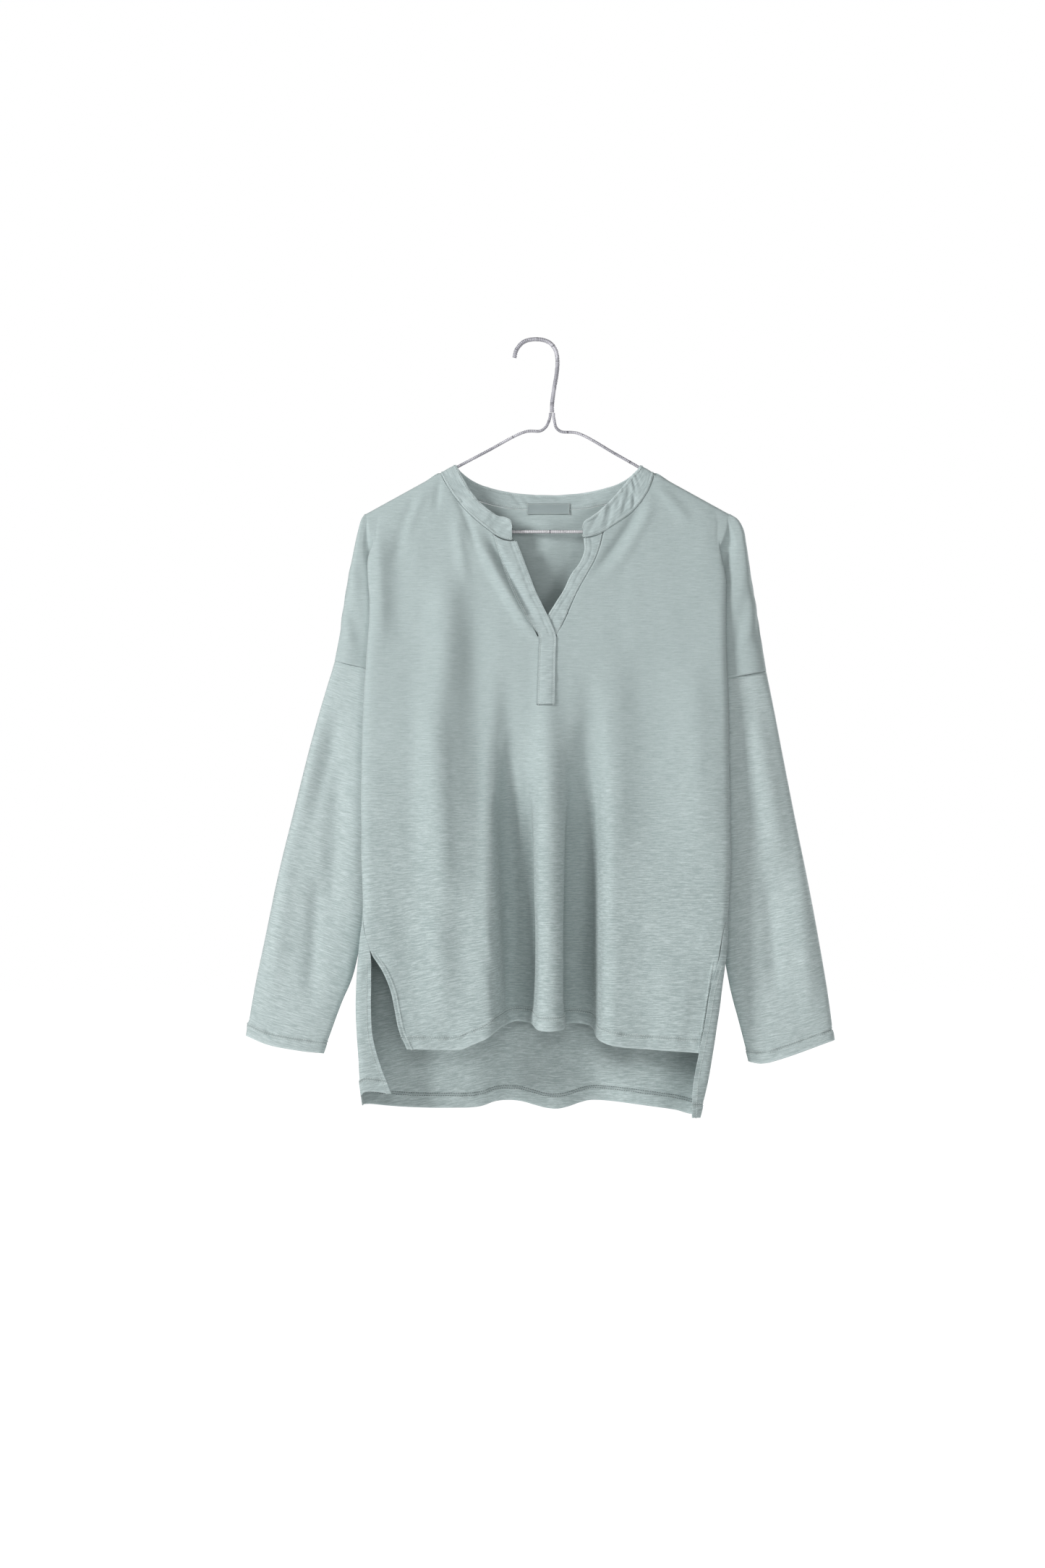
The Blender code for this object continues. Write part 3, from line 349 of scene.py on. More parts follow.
# Mesh density: how each height and width is shared out, and where the neckline's columns start
TOP_DROPS = (0.0, 0.0002, 0.0012, 0.0045, 0.0130)
SEAM_TURN = -0.530
ROW_COUNTS = (6, 2, 3, 6, 5)
NOTCH_ROW = len(TOP_DROPS) - 1 + ROW_COUNTS[0]
NECK_PLACES = {
    "front": (0.0, 0.10, 0.20, 0.30, 0.40, 0.50, 0.60, 0.70, 0.79, 0.88, 0.957, 0.9914, 1.0),
    "back": (0.0, 0.17, 0.34, 0.51, 0.68, 0.84, 0.9687, 0.9937, 1.0),
}
NECK_END = 0.62
NECK_SHARES = {
    "front": (0.0, 0.035, 0.07, 0.105, 0.14, 0.175, 0.215, 0.26, 0.32, 0.39, 0.46, 0.54, NECK_END),
    "back": (0.0, 0.08, 0.16, 0.24, 0.32, 0.40, 0.48, 0.55, NECK_END),
}
ARM_SHARES = {"front": (0.71, 0.80, 0.90, 1.0), "back": (0.72, 0.86, 1.0)}
SIDE_CELLS = {"front": 6, "back": 8}
PLEAT_CELLS = 4


def ridge(outward):
    """Height of the cloth's middle where it lies on the hanger's arm."""
    return NECK_POINT_HEIGHT - SHOULDER_SLOPE * (outward - NECK_POINT)


def stand_off(outward, height, panel):
    """Distance from the hanger's plane of a panel that rolls over the arm and falls from it."""
    drop = np.maximum(ridge(outward) - height, 0.0)
    roll = np.sqrt(RIDGE_RADIUS**2 - np.maximum(RIDGE_RADIUS - drop * ARM_COSINE, 0.0) ** 2)
    full = along(DEPTH, panel, height) - RIDGE_RADIUS
    return np.maximum(roll + full * (1 - np.exp(-drop / DRAPE_LENGTH)), SHOULDER_GAP / 2)


def soft_folds(rows, across, height):
    """Inward depth of long folds that widen from their start to their end."""
    total = 0.0
    for row in rows:
        way = np.clip((row["start"] - height) / (row["start"] - row["end"]), 0.0, 1.0)
        middle = row["top_across"] + (row["low_across"] - row["top_across"]) * way
        total = total + row["depth"] * rise(way, 0.0, 1.0) * bell(across - middle, row["width"])
    return total


def trough(across, height):
    """Inward depth of the two troughs beside the pleat, which have flat floors and steep sides."""
    total = 0.0
    for side, rows in TROUGHS.items():
        middle = SIGN[side] * along(rows, "middle", height)
        total = total + np.exp(-np.abs((across - middle) / along(rows, "width", height)) ** 3.2)
    return along(PLEAT, "trough", height) * total


def panel_depth(panel, across, height):
    """Distance from the hanger's plane of a panel's middle surface."""
    outward = np.abs(across)
    fold = along(SIDE["left" if np.mean(across) < 0 else "right"], "fold", height)
    on_flat = 1 - rise(outward, fold - 0.045, fold - 0.022)
    depth = stand_off(outward, height, panel) - soft_folds(FOLDS[panel], across, height) * on_flat
    return depth - trough(across, height) if panel == "front" else depth


def near_slit(side, height):
    """0 well above the slit's top, and 1 from there down."""
    return rise(SLIT_TOP[side] + SLIT_APPROACH - height, 0.0, SLIT_APPROACH)


def front_edge(side, height):
    """Where the front's flat ends: near the side fold, and at the slit's edge lower down."""
    near = near_slit(side, height)
    by_fold = along(SIDE[side], "fold", height) - FOLD_MARGIN
    return by_fold * (1 - near) + along(FRONT_SLIT[side], "edge", height) * near


def front_span(side, height):
    """Width of the front's side columns that still lie flat."""
    return FOLD_MARGIN + 0.018 * near_slit(side, height)


def side_path(side, panel, height):
    """Thirteen points (outward, y) round the body's side, from the panel's flat by the valley."""
    fold, valley = (float(along(SIDE[side], name, height)) for name in ("fold", "valley"))
    strip_edge, strip_depth = (float(along(BACK_STRIP[side], name, height)) for name in ("edge", "depth"))
    open_up = float(rise(ridge(fold) - height, 0.0, OPENING_DROP))
    low_down = float(near_slit(side, height))
    inner_half = RIDGE_RADIUS + (DROP_THICKNESS[side][0] - RIDGE_RADIUS) * open_up
    armhole = ARMHOLE[side]["valley"]
    open_valley = float(rise(height, armhole - ARMHOLE_LEAD, armhole + 0.030))
    centre = (inner_half + VALLEY_CLEARANCE) * open_valley
    reach = max(fold - valley, 0.0)
    turn = min(WIDEST_TURN, 0.0005 + reach * 0.3) * open_up + 0.0002
    folding = float(rise(reach, SHALLOW_FOLD, DEEP_FOLD)) if height > armhole else 1.0
    front, back = (float(stand_off(fold - 0.010, height, name)) for name in ("front", "back"))
    front += (strip_depth - front) * low_down
    by_fold = fold - FOLD_MARGIN

    def half_side(depth, first, span):
        """One panel's half of the path: folded where the valley is deep, and plain where there is none."""
        returned = inner_half + (depth - inner_half) * (0.45 if reach > 0.01 else 0.55)
        returned = max(min(returned, depth * 0.72), centre * 1.02)
        folded = [
            (first - span, depth),
            (first, depth),
            (fold - turn - 0.0006, depth - 0.10 * (depth - returned)),
            (fold, (depth + returned) / 2),
            (fold - turn, returned + 0.06 * (depth - returned)),
            (valley + 0.11 * reach, centre + (returned - centre) * 0.66),
            (valley, centre),
        ]
        plain = [(first + (valley - first) * t, depth * (1 - 0.08 * t * t)) for t in np.linspace(0.0, 1.0, 6)]
        plain = np.array([folded[0], *plain])
        return plain + (np.array(folded) - plain) * folding

    front_first = by_fold + (strip_edge - by_fold) * low_down
    halves = {
        "front": half_side(front, front_first, front_span(side, height)) * (1, -1),
        "back": half_side(back, by_fold, FOLD_MARGIN),
    }
    own, other = halves[panel], halves["back" if panel == "front" else "front"]
    if height <= armhole - ARMHOLE_LEAD:
        return np.concatenate([own, other[-2::-1]])
    onward = 2 * own[-1] - own[-2]
    inward = own[-1] * (1, 0.5) + (0.001, 0)
    return np.concatenate([own, [onward + (inward - onward) * folding]])


def from_edge(points, axis=0):
    """Length of the cloth or line from the first row or column to each point."""
    step = np.linalg.norm(np.diff(points, axis=axis), axis=-1)
    start = np.zeros_like(np.take(step, [0], axis=axis))
    return np.concatenate([start, np.cumsum(step, axis=axis)], axis=axis)


def to_edge(points, axis=0):
    """Length of the cloth from each point to the last row or column."""
    return np.flip(from_edge(np.flip(points, axis), axis), axis)


def on_path(points, place, first=-1.0, shift=0.0):
    """Point of a smooth curve through the path's points, moved along it by the shift."""
    steps = np.linspace(0.0, len(points) - 1, 24 * (len(points) - 1) + 1)
    i = np.clip(steps.astype(int), 0, len(points) - 2)
    padded = np.vstack([2 * points[0] - points[1], points, 2 * points[-1] - points[-2]])
    leg = np.sqrt(np.maximum(np.linalg.norm(np.diff(padded, axis=0), axis=1), 4e-4))[:, None]
    before, across, after = (padded[i + step] - padded[i + step - 1] for step in (1, 2, 3))
    leg_1, leg_2, leg_3 = leg[i], leg[i + 1], leg[i + 2]
    leave = across + leg_2 * (before / leg_1 - (before + across) / (leg_1 + leg_2))
    arrive = across + leg_2 * (after / leg_3 - (across + after) / (leg_2 + leg_3))
    fine = hermite(padded[i + 1], padded[i + 2], leave, arrive, (steps - i)[:, None])
    length = from_edge(fine)
    at = np.interp(np.asarray(place, float) - first, steps, length) + shift
    return np.stack([np.interp(at, length, column) for column in fine.T], axis=-1)


def drop_path(side, height):
    """Six points (outward, y) of the front dropped shoulder, from the valley to its outer edge."""
    outer = float(along(DROP, side, height))
    open_up = float(rise(ridge(SHOULDER_END) - height, 0.0, OPENING_DROP))
    inner, inner_y = side_path(side, "front", height)[6]
    halves = [RIDGE_RADIUS + (half - RIDGE_RADIUS) * open_up for half in DROP_THICKNESS[side]]
    depths = (-inner_y, *halves, 0.0010, SHOULDER_GAP / 2)
    return np.array([(inner + (outer - inner) * share, -depth) for share, depth in zip(DROP_SHARES, depths)])


def rolled(side, panel, top_outward, height, point, roll_share=1.0):
    """A point of a side column, led from its place on the hanger's arm to its own path below."""
    outward, y = point
    way = float(rise(ridge(top_outward) - height, 0.0, ROLL_DROP))
    if way < 1.0:
        seam = SHOULDER_GAP / 2
        roll = seam + (float(stand_off(top_outward, height, panel)) - seam) * roll_share
        least = min(roll, RIDGE_RADIUS * roll_share + seam) if way < 0.5 else 0.0
        y = max(roll + (abs(y) - roll) * way, least) * (-1 if panel == "front" else 1)
        outward = top_outward + (outward - top_outward) * (way if roll_share == 1.0 else 1.0)
    return SIGN[side] * outward, y, height


def neckline_points(rows, shares):
    """Points (outward, height) at shares of the way along a neckline."""
    fine = np.linspace(rows["outward"][0], rows["outward"][-1], 80)
    fine_height = along(rows, "height", fine)
    length = from_edge(np.stack([fine, fine_height], axis=1))
    at = np.asarray(shares) * length[-1]
    return np.interp(at, length, fine), np.interp(at, length, fine_height)


def row_heights(side, top, armhole, hem):
    """Heights of one column's rows: fine at the top, then shared out between its landmarks."""
    heights = [top - drop for drop in TOP_DROPS]
    marks = (heights[-1], NOTCH_BOTTOM, armhole, SEAM_TURN, SLIT_TOP[side], hem)
    for start, end, count in zip(marks, marks[1:], ROW_COUNTS):
        heights += [start + (end - start) * step / count for step in range(1, count + 1)]
    return np.array(heights)


def flat_outward(side, panel, share, height):
    """Outward distance of a flat column, from the notch, the pleat or the middle to the flat's edge."""
    if panel == "back":
        return share * (along(SIDE[side], "fold", height) - 2 * FOLD_MARGIN)
    notch, pleat = along(NOTCH[side], "panel", height), along(PLEAT, side, height)
    inner = np.where(np.asarray(height) > NOTCH_BOTTOM, notch, pleat)
    return inner + share * (front_edge(side, height) - front_span(side, height) - inner)


def flat_column(side, panel, share, top_outward, top):
    """One column of a panel's flat, from its top edge to its hem."""
    rows = FRONT_HEM if panel == "front" else BACK_HEM
    hem_outward = flat_outward(side, panel, share, rows["height"].min())
    hem = float(along(rows, "height", SIGN[side] * float(hem_outward)))
    heights = row_heights(side, top, ARMHOLE[side]["valley"], hem)
    left_above = np.clip((heights - NOTCH_BOTTOM) / (top - NOTCH_BOTTOM), 0.0, 1.0)
    shift = top_outward - float(flat_outward(side, panel, share, top))
    haste = 1 + 20 * max(share - NECK_END, 0.0)
    across = SIGN[side] * (flat_outward(side, panel, share, heights) + shift * left_above**haste)
    y = panel_depth(panel, across, heights) * (-1 if panel == "front" else 1)
    return np.stack([across, y, heights], axis=1)


def side_column(side, panel, share, edge_shift, top_outward):
    """One column of a panel's side, by its share of the way to the side seam."""
    armhole, slit = ARMHOLE[side]["valley"], SLIT_TOP[side]
    column = []
    for height in row_heights(side, ridge(top_outward), armhole, side_hem(side, panel, share)):
        if panel == "front" and height < slit - 1e-9:
            column.append(slit_point(side, share, edge_shift, height))
            continue
        seam = float(along(SIDE_SEAM, "place", height)) if height > slit + 1e-9 else 0.0
        last = seam if panel == "front" else 10.0 - seam
        path = side_path(side, panel, height)
        shift = edge_shift
        if edge_shift < -0.0005:
            wide_turn = float(rise(height, armhole - 0.02, armhole + 0.02))
            before = on_path(path, (1 - 1 / SIDE_CELLS[panel]) * (last + 1) - 1)
            shift = -min(0.0009 + 0.0012 * wide_turn, 0.5 * math.dist(before, on_path(path, last)))
        point = on_path(path, share * (last + 1) - 1, shift=shift)
        column.append(rolled(side, panel, top_outward, height, point))
    return np.array(column)


def slit_point(side, share, edge_shift, height):
    """A point of the front beside the slit, which draws back from the strip behind it."""
    way = float(rise(SLIT_TOP[side] - height, 0.0, 0.020))
    outward = float(front_edge(side, height)) - float(front_span(side, height)) * (1 - share) + edge_shift
    flat = float(panel_depth("front", SIGN[side] * outward, height))
    top = float(along(BACK_STRIP[side], "depth", SLIT_TOP[side]))
    return SIGN[side] * outward, -(top + (flat - SLIT_RECESS[side] * share - top) * way), height


def drop_column(side, panel, index, top_outward):
    """One column of the dropped shoulder, from the hanger's arm to the armhole."""
    armhole = ARMHOLE[side]
    end = armhole["valley"] + (armhole["outer"] - armhole["valley"]) * DROP_SHARES[index]
    column = []
    for height in row_heights(side, ridge(top_outward), end, SLIT_TOP[side] - 0.1):
        point = drop_path(side, height)[index] * (1 if panel == "front" else (1, -1))
        column.append(rolled(side, panel, top_outward, height, point, DROP_ROLLS[index]))
    return np.array(column)


def side_hem(side, panel, share):
    """Hem height of a side column."""
    if panel == "front":
        edge = FRONT_SLIT[side]["edge"][-1]
        return float(along(FRONT_HEM, "height", SIGN[side] * (edge - 0.030 * (1 - share))))
    at_fold = along(BACK_HEM, "height", SIGN[side] * SIDE[side]["fold"][-1])
    return float(at_fold + (STRIP_HEM[side] - at_fold) * rise(share, 0.45, 1.0))


def half_panel(side, panel):
    """Grid of points of one half of a panel, from its middle to its outer edge."""
    neck = FRONT_NECK[side] if panel == "front" else BACK_NECK
    tops = list(zip(*neckline_points(neck, NECK_PLACES[panel])))
    for share in ARM_SHARES[panel]:
        outward = NECK_POINT + (FLAT_TOP - NECK_POINT) * (share - NECK_END) / (1 - NECK_END)
        tops.append((outward, ridge(outward)))
    shares = NECK_SHARES[panel] + ARM_SHARES[panel]
    columns = [flat_column(side, panel, share, *top) for share, top in zip(shares, tops)]
    side_shares = [(step / SIDE_CELLS[panel], 0.0) for step in range(1, SIDE_CELLS[panel])]
    side_shares += [(1.0, -0.0009), (1.0, -0.0003)]
    for step, (share, shift) in enumerate(side_shares):
        top_outward = FLAT_TOP + (VALLEY_TOP - FLAT_TOP) * (step + 1) / len(side_shares)
        columns.append(side_column(side, panel, share, shift, top_outward))
    for index in range(1, len(DROP_SHARES)):
        top_outward = VALLEY_TOP + (DROP_TOP - VALLEY_TOP) * DROP_TOPS[index]
        columns.append(drop_column(side, panel, index, top_outward))
    return np.stack(columns, axis=1)


def whole_panel(panel):
    """Both halves of a panel joined at its middle, and which of its cells are cut away."""
    left, right = half_panel("left", panel), half_panel("right", panel)
    middle = left[:, :0]
    if panel == "front":
        shares = np.arange(1, PLEAT_CELLS)[None, :, None] / PLEAT_CELLS
        middle = left[:, :1] * (1 - shares) + right[:, :1] * shares
        across, height = middle[..., 0], middle[..., 2]
        hem = along(FRONT_HEM, "height", across[-1])
        start, end = height[NOTCH_ROW], height[-1]
        below = start + (hem - start) * (height - start) / (end - start)
        middle[..., 2] = np.where(height < start, below, height)
        middle[..., 1] = -panel_depth("front", across, middle[..., 2])
    points = np.concatenate([left[:, ::-1], middle, right[:, 0 if panel == "front" else 1 :]], axis=1)
    gone = np.zeros((len(points) - 1, points.shape[1] - 1), bool)
    gone[NOTCH_ROW + ROW_COUNTS[1] :, :DROP_CELLS] = True
    gone[NOTCH_ROW + ROW_COUNTS[1] :, -DROP_CELLS:] = True
    if panel == "front":
        gone[:NOTCH_ROW, left.shape[1] - 1 : left.shape[1] - 1 + PLEAT_CELLS] = True
    return points, gone


CELL = 0.0044
HEM_STEPS = 3
LATTICE = 61
# Creases: from one end to the other, how bowed and wide, and how far out (or in) they stand
CREASES = {
    "front": table("x_1 z_1 x_2 z_2 bow width depth", """
-0.1149 -0.251 -0.1247 -0.4303 0.0049 0.019 0.0063
-0.1263 -0.3814 -0.1068 -0.6748 -0.0065 0.018 0.0084
-0.1932 -0.2143 -0.1899 -0.3488 0 0.01 0.0029
-0.1231 -0.6259 -0.11 -0.7889 0 0.018 0.0059
-0.1703 -0.2021 -0.1671 -0.3488 0 0.014 -0.0034
-0.0856 -0.251 -0.0758 -0.6585 0 0.018 -0.0076
-0.1206 -0.1516 -0.1271 -0.1956 0 0.0034 -0.0021
-0.1345 -0.1597 -0.1638 -0.2347 -0.0024 0.0055 0.0023
-0.1133 -0.1565 -0.0791 -0.2412 0.0041 0.004 -0.0021
-0.1418 -0.1663 -0.1744 -0.2592 -0.0033 0.007 -0.0019
-0.1035 -0.1956 -0.0913 -0.2755 0 0.0065 0.0021
-0.0807 -0.2168 -0.0098 -0.3407 -0.0024 0.0065 0.0055
-0.0693 -0.2143 -0.0106 -0.3227 0 0.0045 -0.0038
0.1068 -0.1817 0.0473 -0.2673 0.0033 0.006 -0.0038
0.1206 -0.1777 0.066 -0.2673 0.0033 0.007 0.0023
0.1206 -0.1597 0.1654 -0.2103 0 0.006 0.0017
0.1002 -0.3325 0.1206 -0.6341 0 0.026 -0.0046
0.1654 -0.3488 0.1777 -0.6178 0 0.018 0.0038
-0.0465 -0.4303 -0.0546 -0.5281 0 0.006 0.0021
-0.0465 -0.3733 -0.0342 -0.8174 0 0.0125 -0.0071
-0.0399 -0.5037 -0.0334 -0.8215 0 0.0105 -0.0063
-0.0244 -0.4792 -0.0212 -0.8215 0 0.0055 -0.0084
0.0456 -0.3733 0.0367 -0.8174 0 0.0125 -0.0071
0.0399 -0.5037 0.035 -0.8215 0 0.0105 -0.0063
0.0285 -0.4792 0.0253 -0.8215 0 0.0055 -0.0084
-0.0008 -0.3081 0.0008 -0.8052 0 0.012 0.0034
-0.0139 -0.6259 -0.0122 -0.7808 0 0.0035 -0.0021
"""),
    "back": table("x_1 z_1 x_2 z_2 bow width depth", """
-0.0954 -0.1369 -0.128 -0.3488 0 0.016 0.0078
0.1002 -0.1369 0.1369 -0.3488 0 0.016 0.0078
0 -0.1451 0 -0.414 0 0.02 -0.0052
-0.0465 -0.3488 -0.0791 -0.8215 0 0.022 0.0078
0.0595 -0.3325 0.0921 -0.8215 0 0.022 0.0083
-0.1606 -0.3488 -0.1483 -0.8378 0 0.018 -0.0068
0.1736 -0.3488 0.1491 -0.8378 0 0.018 -0.0068
"""),
}
# Uneven swells of each panel: how strong, wide and tall they are, and their seeds
SWELLS = {
    "front": ((0.0011, 0.045, 0.110, 3), (0.0003, 0.016, 0.050, 5)),
    "back": ((0.0007, 0.050, 0.120, 7), (0.0003, 0.018, 0.055, 9)),
}


def shared_out(counts):
    """For cells cut into so many steps each: the cell and the share of its way where each step starts."""
    index = np.repeat(np.arange(len(counts)), counts)
    return index, np.concatenate([np.arange(count) / count for count in counts])


def finer(points, gone, cell):
    """The grid and its missing cells, cut along the first axis into steps of about this size."""
    whole = np.zeros((len(gone), points.shape[1]), bool)
    whole[:, :-1] |= ~gone
    whole[:, 1:] |= ~gone
    lengths = np.linalg.norm(np.diff(points, axis=0), axis=-1)
    counts = np.maximum(np.ceil(np.where(whole, lengths, 0.0).max(axis=1) / cell).astype(int), 1)
    # Slopes of a smooth line through each column, one-sided beside a missing cell
    step = np.diff(points, axis=0) / np.maximum(lengths, 1e-9)[..., None]
    weight = (np.where(whole, 1.0, 1e-6) / np.maximum(lengths, 1e-6))[..., None]
    first, last = ((1, 0), (0, 0), (0, 0)), ((0, 1), (0, 0), (0, 0))
    before, after = np.pad(weight, first), np.pad(weight, last)
    slopes = (np.pad(step, first) * before + np.pad(step, last) * after) / (before + after)
    index, share = shared_out(counts)
    length = lengths[index][..., None]
    leave, arrive = length * slopes[index], length * slopes[index + 1]
    inside = hermite(points[index], points[index + 1], leave, arrive, share[:, None, None])
    places = np.append(index + share, len(counts))
    return np.concatenate([inside, points[-1:]]), gone[index], places


def refined(points, gone=None, cell=CELL):
    """A smooth fine grid through a coarse one, its missing cells, and its places on the coarse grid."""
    if gone is None:
        gone = np.zeros((points.shape[0] - 1, points.shape[1] - 1), bool)
    points, gone, row_place = finer(points, gone, cell)
    points, gone, column_place = finer(points.swapaxes(0, 1), gone.T, cell)
    return points.swapaxes(0, 1), gone.T, row_place, column_place


def denser(points, gone, places, near):
    """The grid with its rows cut into more steps where they lie this near the hem."""
    index, share = shared_out(np.where(to_edge(points)[:-1].min(axis=1) < near, HEM_STEPS, 1))
    part = share[:, None, None]
    mixed = points[index] * (1 - part) + points[index + 1] * part
    places = np.append(places[index] * (1 - share) + places[index + 1] * share, places[-1])
    return np.concatenate([mixed, points[-1:]]), gone[index], places


def normals_of(points, outward):
    """Unit normals of a grid, turned so that most of them point the outward way."""
    normal = np.cross(np.gradient(points, axis=0), np.gradient(points, axis=1))
    normal /= np.maximum(np.linalg.norm(normal, axis=-1, keepdims=True), 1e-12)
    return normal if (normal * outward).sum() > 0 else -normal


def mottle(across, down, seed):
    """Smooth uneven noise from -1 to 1, one swell a unit."""
    lattice = np.random.default_rng(seed).uniform(-1, 1, (LATTICE, LATTICE))
    i, j = np.floor(across).astype(int), np.floor(down).astype(int)
    s, t = rise(across - i, 0, 1), rise(down - j, 0, 1)
    i, j = i % LATTICE, j % LATTICE
    k, m = (i + 1) % LATTICE, (j + 1) % LATTICE
    low = lattice[i, j] * (1 - s) + lattice[k, j] * s
    high = lattice[i, m] * (1 - s) + lattice[k, m] * s
    return low * (1 - t) + high * t


def creased(rows, swells, across, height):
    """How far the cloth stands out: soft creases that fade at their ends, on uneven swells."""
    total = np.zeros_like(across)
    for row in rows:
        along_x, along_z = row["x_2"] - row["x_1"], row["z_2"] - row["z_1"]
        length = math.hypot(along_x, along_z)
        along_x, along_z = along_x / length, along_z / length
        way = ((across - row["x_1"]) * along_x + (height - row["z_1"]) * along_z) / length
        aside = (height - row["z_1"]) * along_x - (across - row["x_1"]) * along_z
        aside = aside - row["bow"] * 4 * way * (1 - way)
        ends = rise(way, -0.06, 0.28) * (1 - rise(way, 0.62, 1.06))
        total += row["depth"] * ends * bell(aside, row["width"])
    for strong, wide, tall, seed in swells:
        total += strong * mottle(across / wide, height / tall, seed)
    return total


def panel_relief(panel, across, height):
    """How far a panel's creases stand out from its smooth shape: nowhere at its neck and seams."""
    outward = np.abs(across)
    fold = np.where(across < 0, *(along(SIDE[side], "fold", height) for side in ("left", "right")))
    fade = rise(ridge(np.maximum(outward, 0.09)) - height, 0.002, 0.018)
    fade = fade * (1 - rise(outward, fold - 0.014, fold - 0.003))
    if panel == "back":
        fade = fade * rise(along(BACK_NECK, "height", outward) - height, 0.001, 0.016)
    return creased(CREASES[panel], SWELLS[panel], across, height) * fade


def cloth_coordinates(points):
    """Distances in metres over the cloth, across from the middle and down from the top."""
    across = from_edge(points, 1)
    down = np.linalg.norm(np.diff(points, axis=0), axis=-1).mean(axis=1)
    down = np.concatenate([[0.0], np.cumsum(down)])[:, None]
    return across - across[:, across.shape[1] // 2][:, None], np.broadcast_to(down, across.shape)


def placed(name, data):
    """A new object of the scene that shows a mesh or a curve."""
    thing = bpy.data.objects.new(name, data)
    bpy.context.collection.objects.link(thing)
    return thing


def cloth_piece(name, points, wear_and_painted_light, gone=None, wall=CLOTH, ring=False, coordinates=None):
    """A cloth wall through a fine grid, with its own coordinates and a mask of edge wear and of painted light
    and shade.
    """
    number = np.arange(points[..., 0].size).reshape(points.shape[:2])
    if ring:
        number[:, -1] = number[:, 0]
    kept = np.ones((points.shape[0] - 1, points.shape[1] - 1), bool) if gone is None else ~gone

    def corners(grid):
        return np.stack([grid[:-1, :-1], grid[:-1, 1:], grid[1:, 1:], grid[1:, :-1]], axis=-1)[kept]

    faces = corners(number)
    used, index = np.unique(faces, return_inverse=True)
    mesh = bpy.data.meshes.new(name)
    place = points.reshape(-1, 3)[used] + (CENTRE_X, 0.0, 0.0)
    mesh.from_pydata(place.tolist(), [], index.reshape(faces.shape).tolist())
    across, down = cloth_coordinates(points) if coordinates is None else coordinates
    flat = np.stack([corners(across), corners(down)], axis=-1).astype(np.float32)
    mesh.uv_layers.new(name="cloth").data.foreach_set("uv", flat.ravel())
    mask = mesh.attributes.new("wear_and_painted_light", "FLOAT", "POINT")
    mask.data.foreach_set("value", wear_and_painted_light.reshape(-1)[used].astype(np.float32))
    mesh.update()
    mesh.shade_smooth()
    piece = placed(name, mesh)
    thickness = piece.modifiers.new("Cloth wall", "SOLIDIFY")
    thickness.thickness = wall
    thickness.offset = 0.0
    return piece


def finished(piece, material, node):
    """The piece in its material, riding the one body and standing for its CAD node."""
    piece.data.materials.append(material)
    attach(piece, "root")
    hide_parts(node)


def hem_relief(distance, place, hem, seed):
    """A turned hem: doubled cloth that puckers along its stitch line. Returns how far it stands out."""
    inside = 1 - rise(distance, hem - 0.0012, hem + 0.0006)
    pucker = mottle(place / 0.0065, distance / 0.012, seed) * bell(distance - hem + 0.002, 0.0035) * 0.0016
    swell = mottle(place / 0.030, distance / 0.040, seed + 1) * 0.0007 * (1 - rise(distance, hem, hem + 0.03))
    groove = -0.0007 * bell(distance - hem + 0.0026, 0.0016)
    return inside * 0.0009 + pucker + swell + groove


def hem_wear_and_shade(distance, hem, shade):
    """A hem's mask: pale where its edge is worn, and darker by this painted shade along its stitches."""
    return 0.7 * bell(distance, 0.0016) - shade * bell(distance - hem + 0.0026, 0.0014)


def new_group(kind, name, given, made):
    """An empty node group with these inputs and outputs: a name, and a number or a kind of socket."""
    group = bpy.data.node_groups.new(name, kind)
    for way, sockets in (("INPUT", given), ("OUTPUT", made)):
        for label, value in sockets:
            kind = "Float" if isinstance(value, float) else value
            socket = group.interface.new_socket(label, in_out=way, socket_type="NodeSocket" + kind)
            if isinstance(value, float):
                socket.default_value = value
    return group, group.nodes.new("NodeGroupInput").outputs, group.nodes.new("NodeGroupOutput").inputs


def add_node(tree, kind, inputs, **settings):
    """A new node with its settings; each of its inputs takes a value or another node's output."""
    node = tree.nodes.new(kind)
    for name, value in settings.items():
        setattr(node, name, value)
    for socket, value in inputs.items():
        if isinstance(value, bpy.types.NodeSocket):
            tree.links.new(value, node.inputs[socket])
        else:
            node.inputs[socket].default_value = value
    return node


def worked_out(tree, operation, first, second=0.0):
    """Output of a math node."""
    return add_node(tree, "ShaderNodeMath", {0: first, 1: second}, operation=operation).outputs[0]


def blended(tree, factor, first, second, **settings):
    """A colour between two colours, each a constant or another node's output."""
    first, second = ((*colour, 1.0) if isinstance(colour, tuple) else colour for colour in (first, second))
    inputs = {0: factor, 6: first, 7: second}
    return add_node(tree, "ShaderNodeMix", inputs, data_type="RGBA", **settings).outputs[2]


def new_finish(name):
    """A new material, with its node tree and its shader."""
    material = bpy.data.materials.new(name)
    material.use_nodes = True
    return material, material.node_tree, material.node_tree.nodes["Principled BSDF"]


def shown(tree, shader, colour, relief=None):
    """Leads a colour, and the bump that has these inputs, to a material's shader."""
    tree.links.new(colour, shader.inputs["Base Color"])
    if relief:
        tree.links.new(add_node(tree, "ShaderNodeBump", relief).outputs["Normal"], shader.inputs["Normal"])


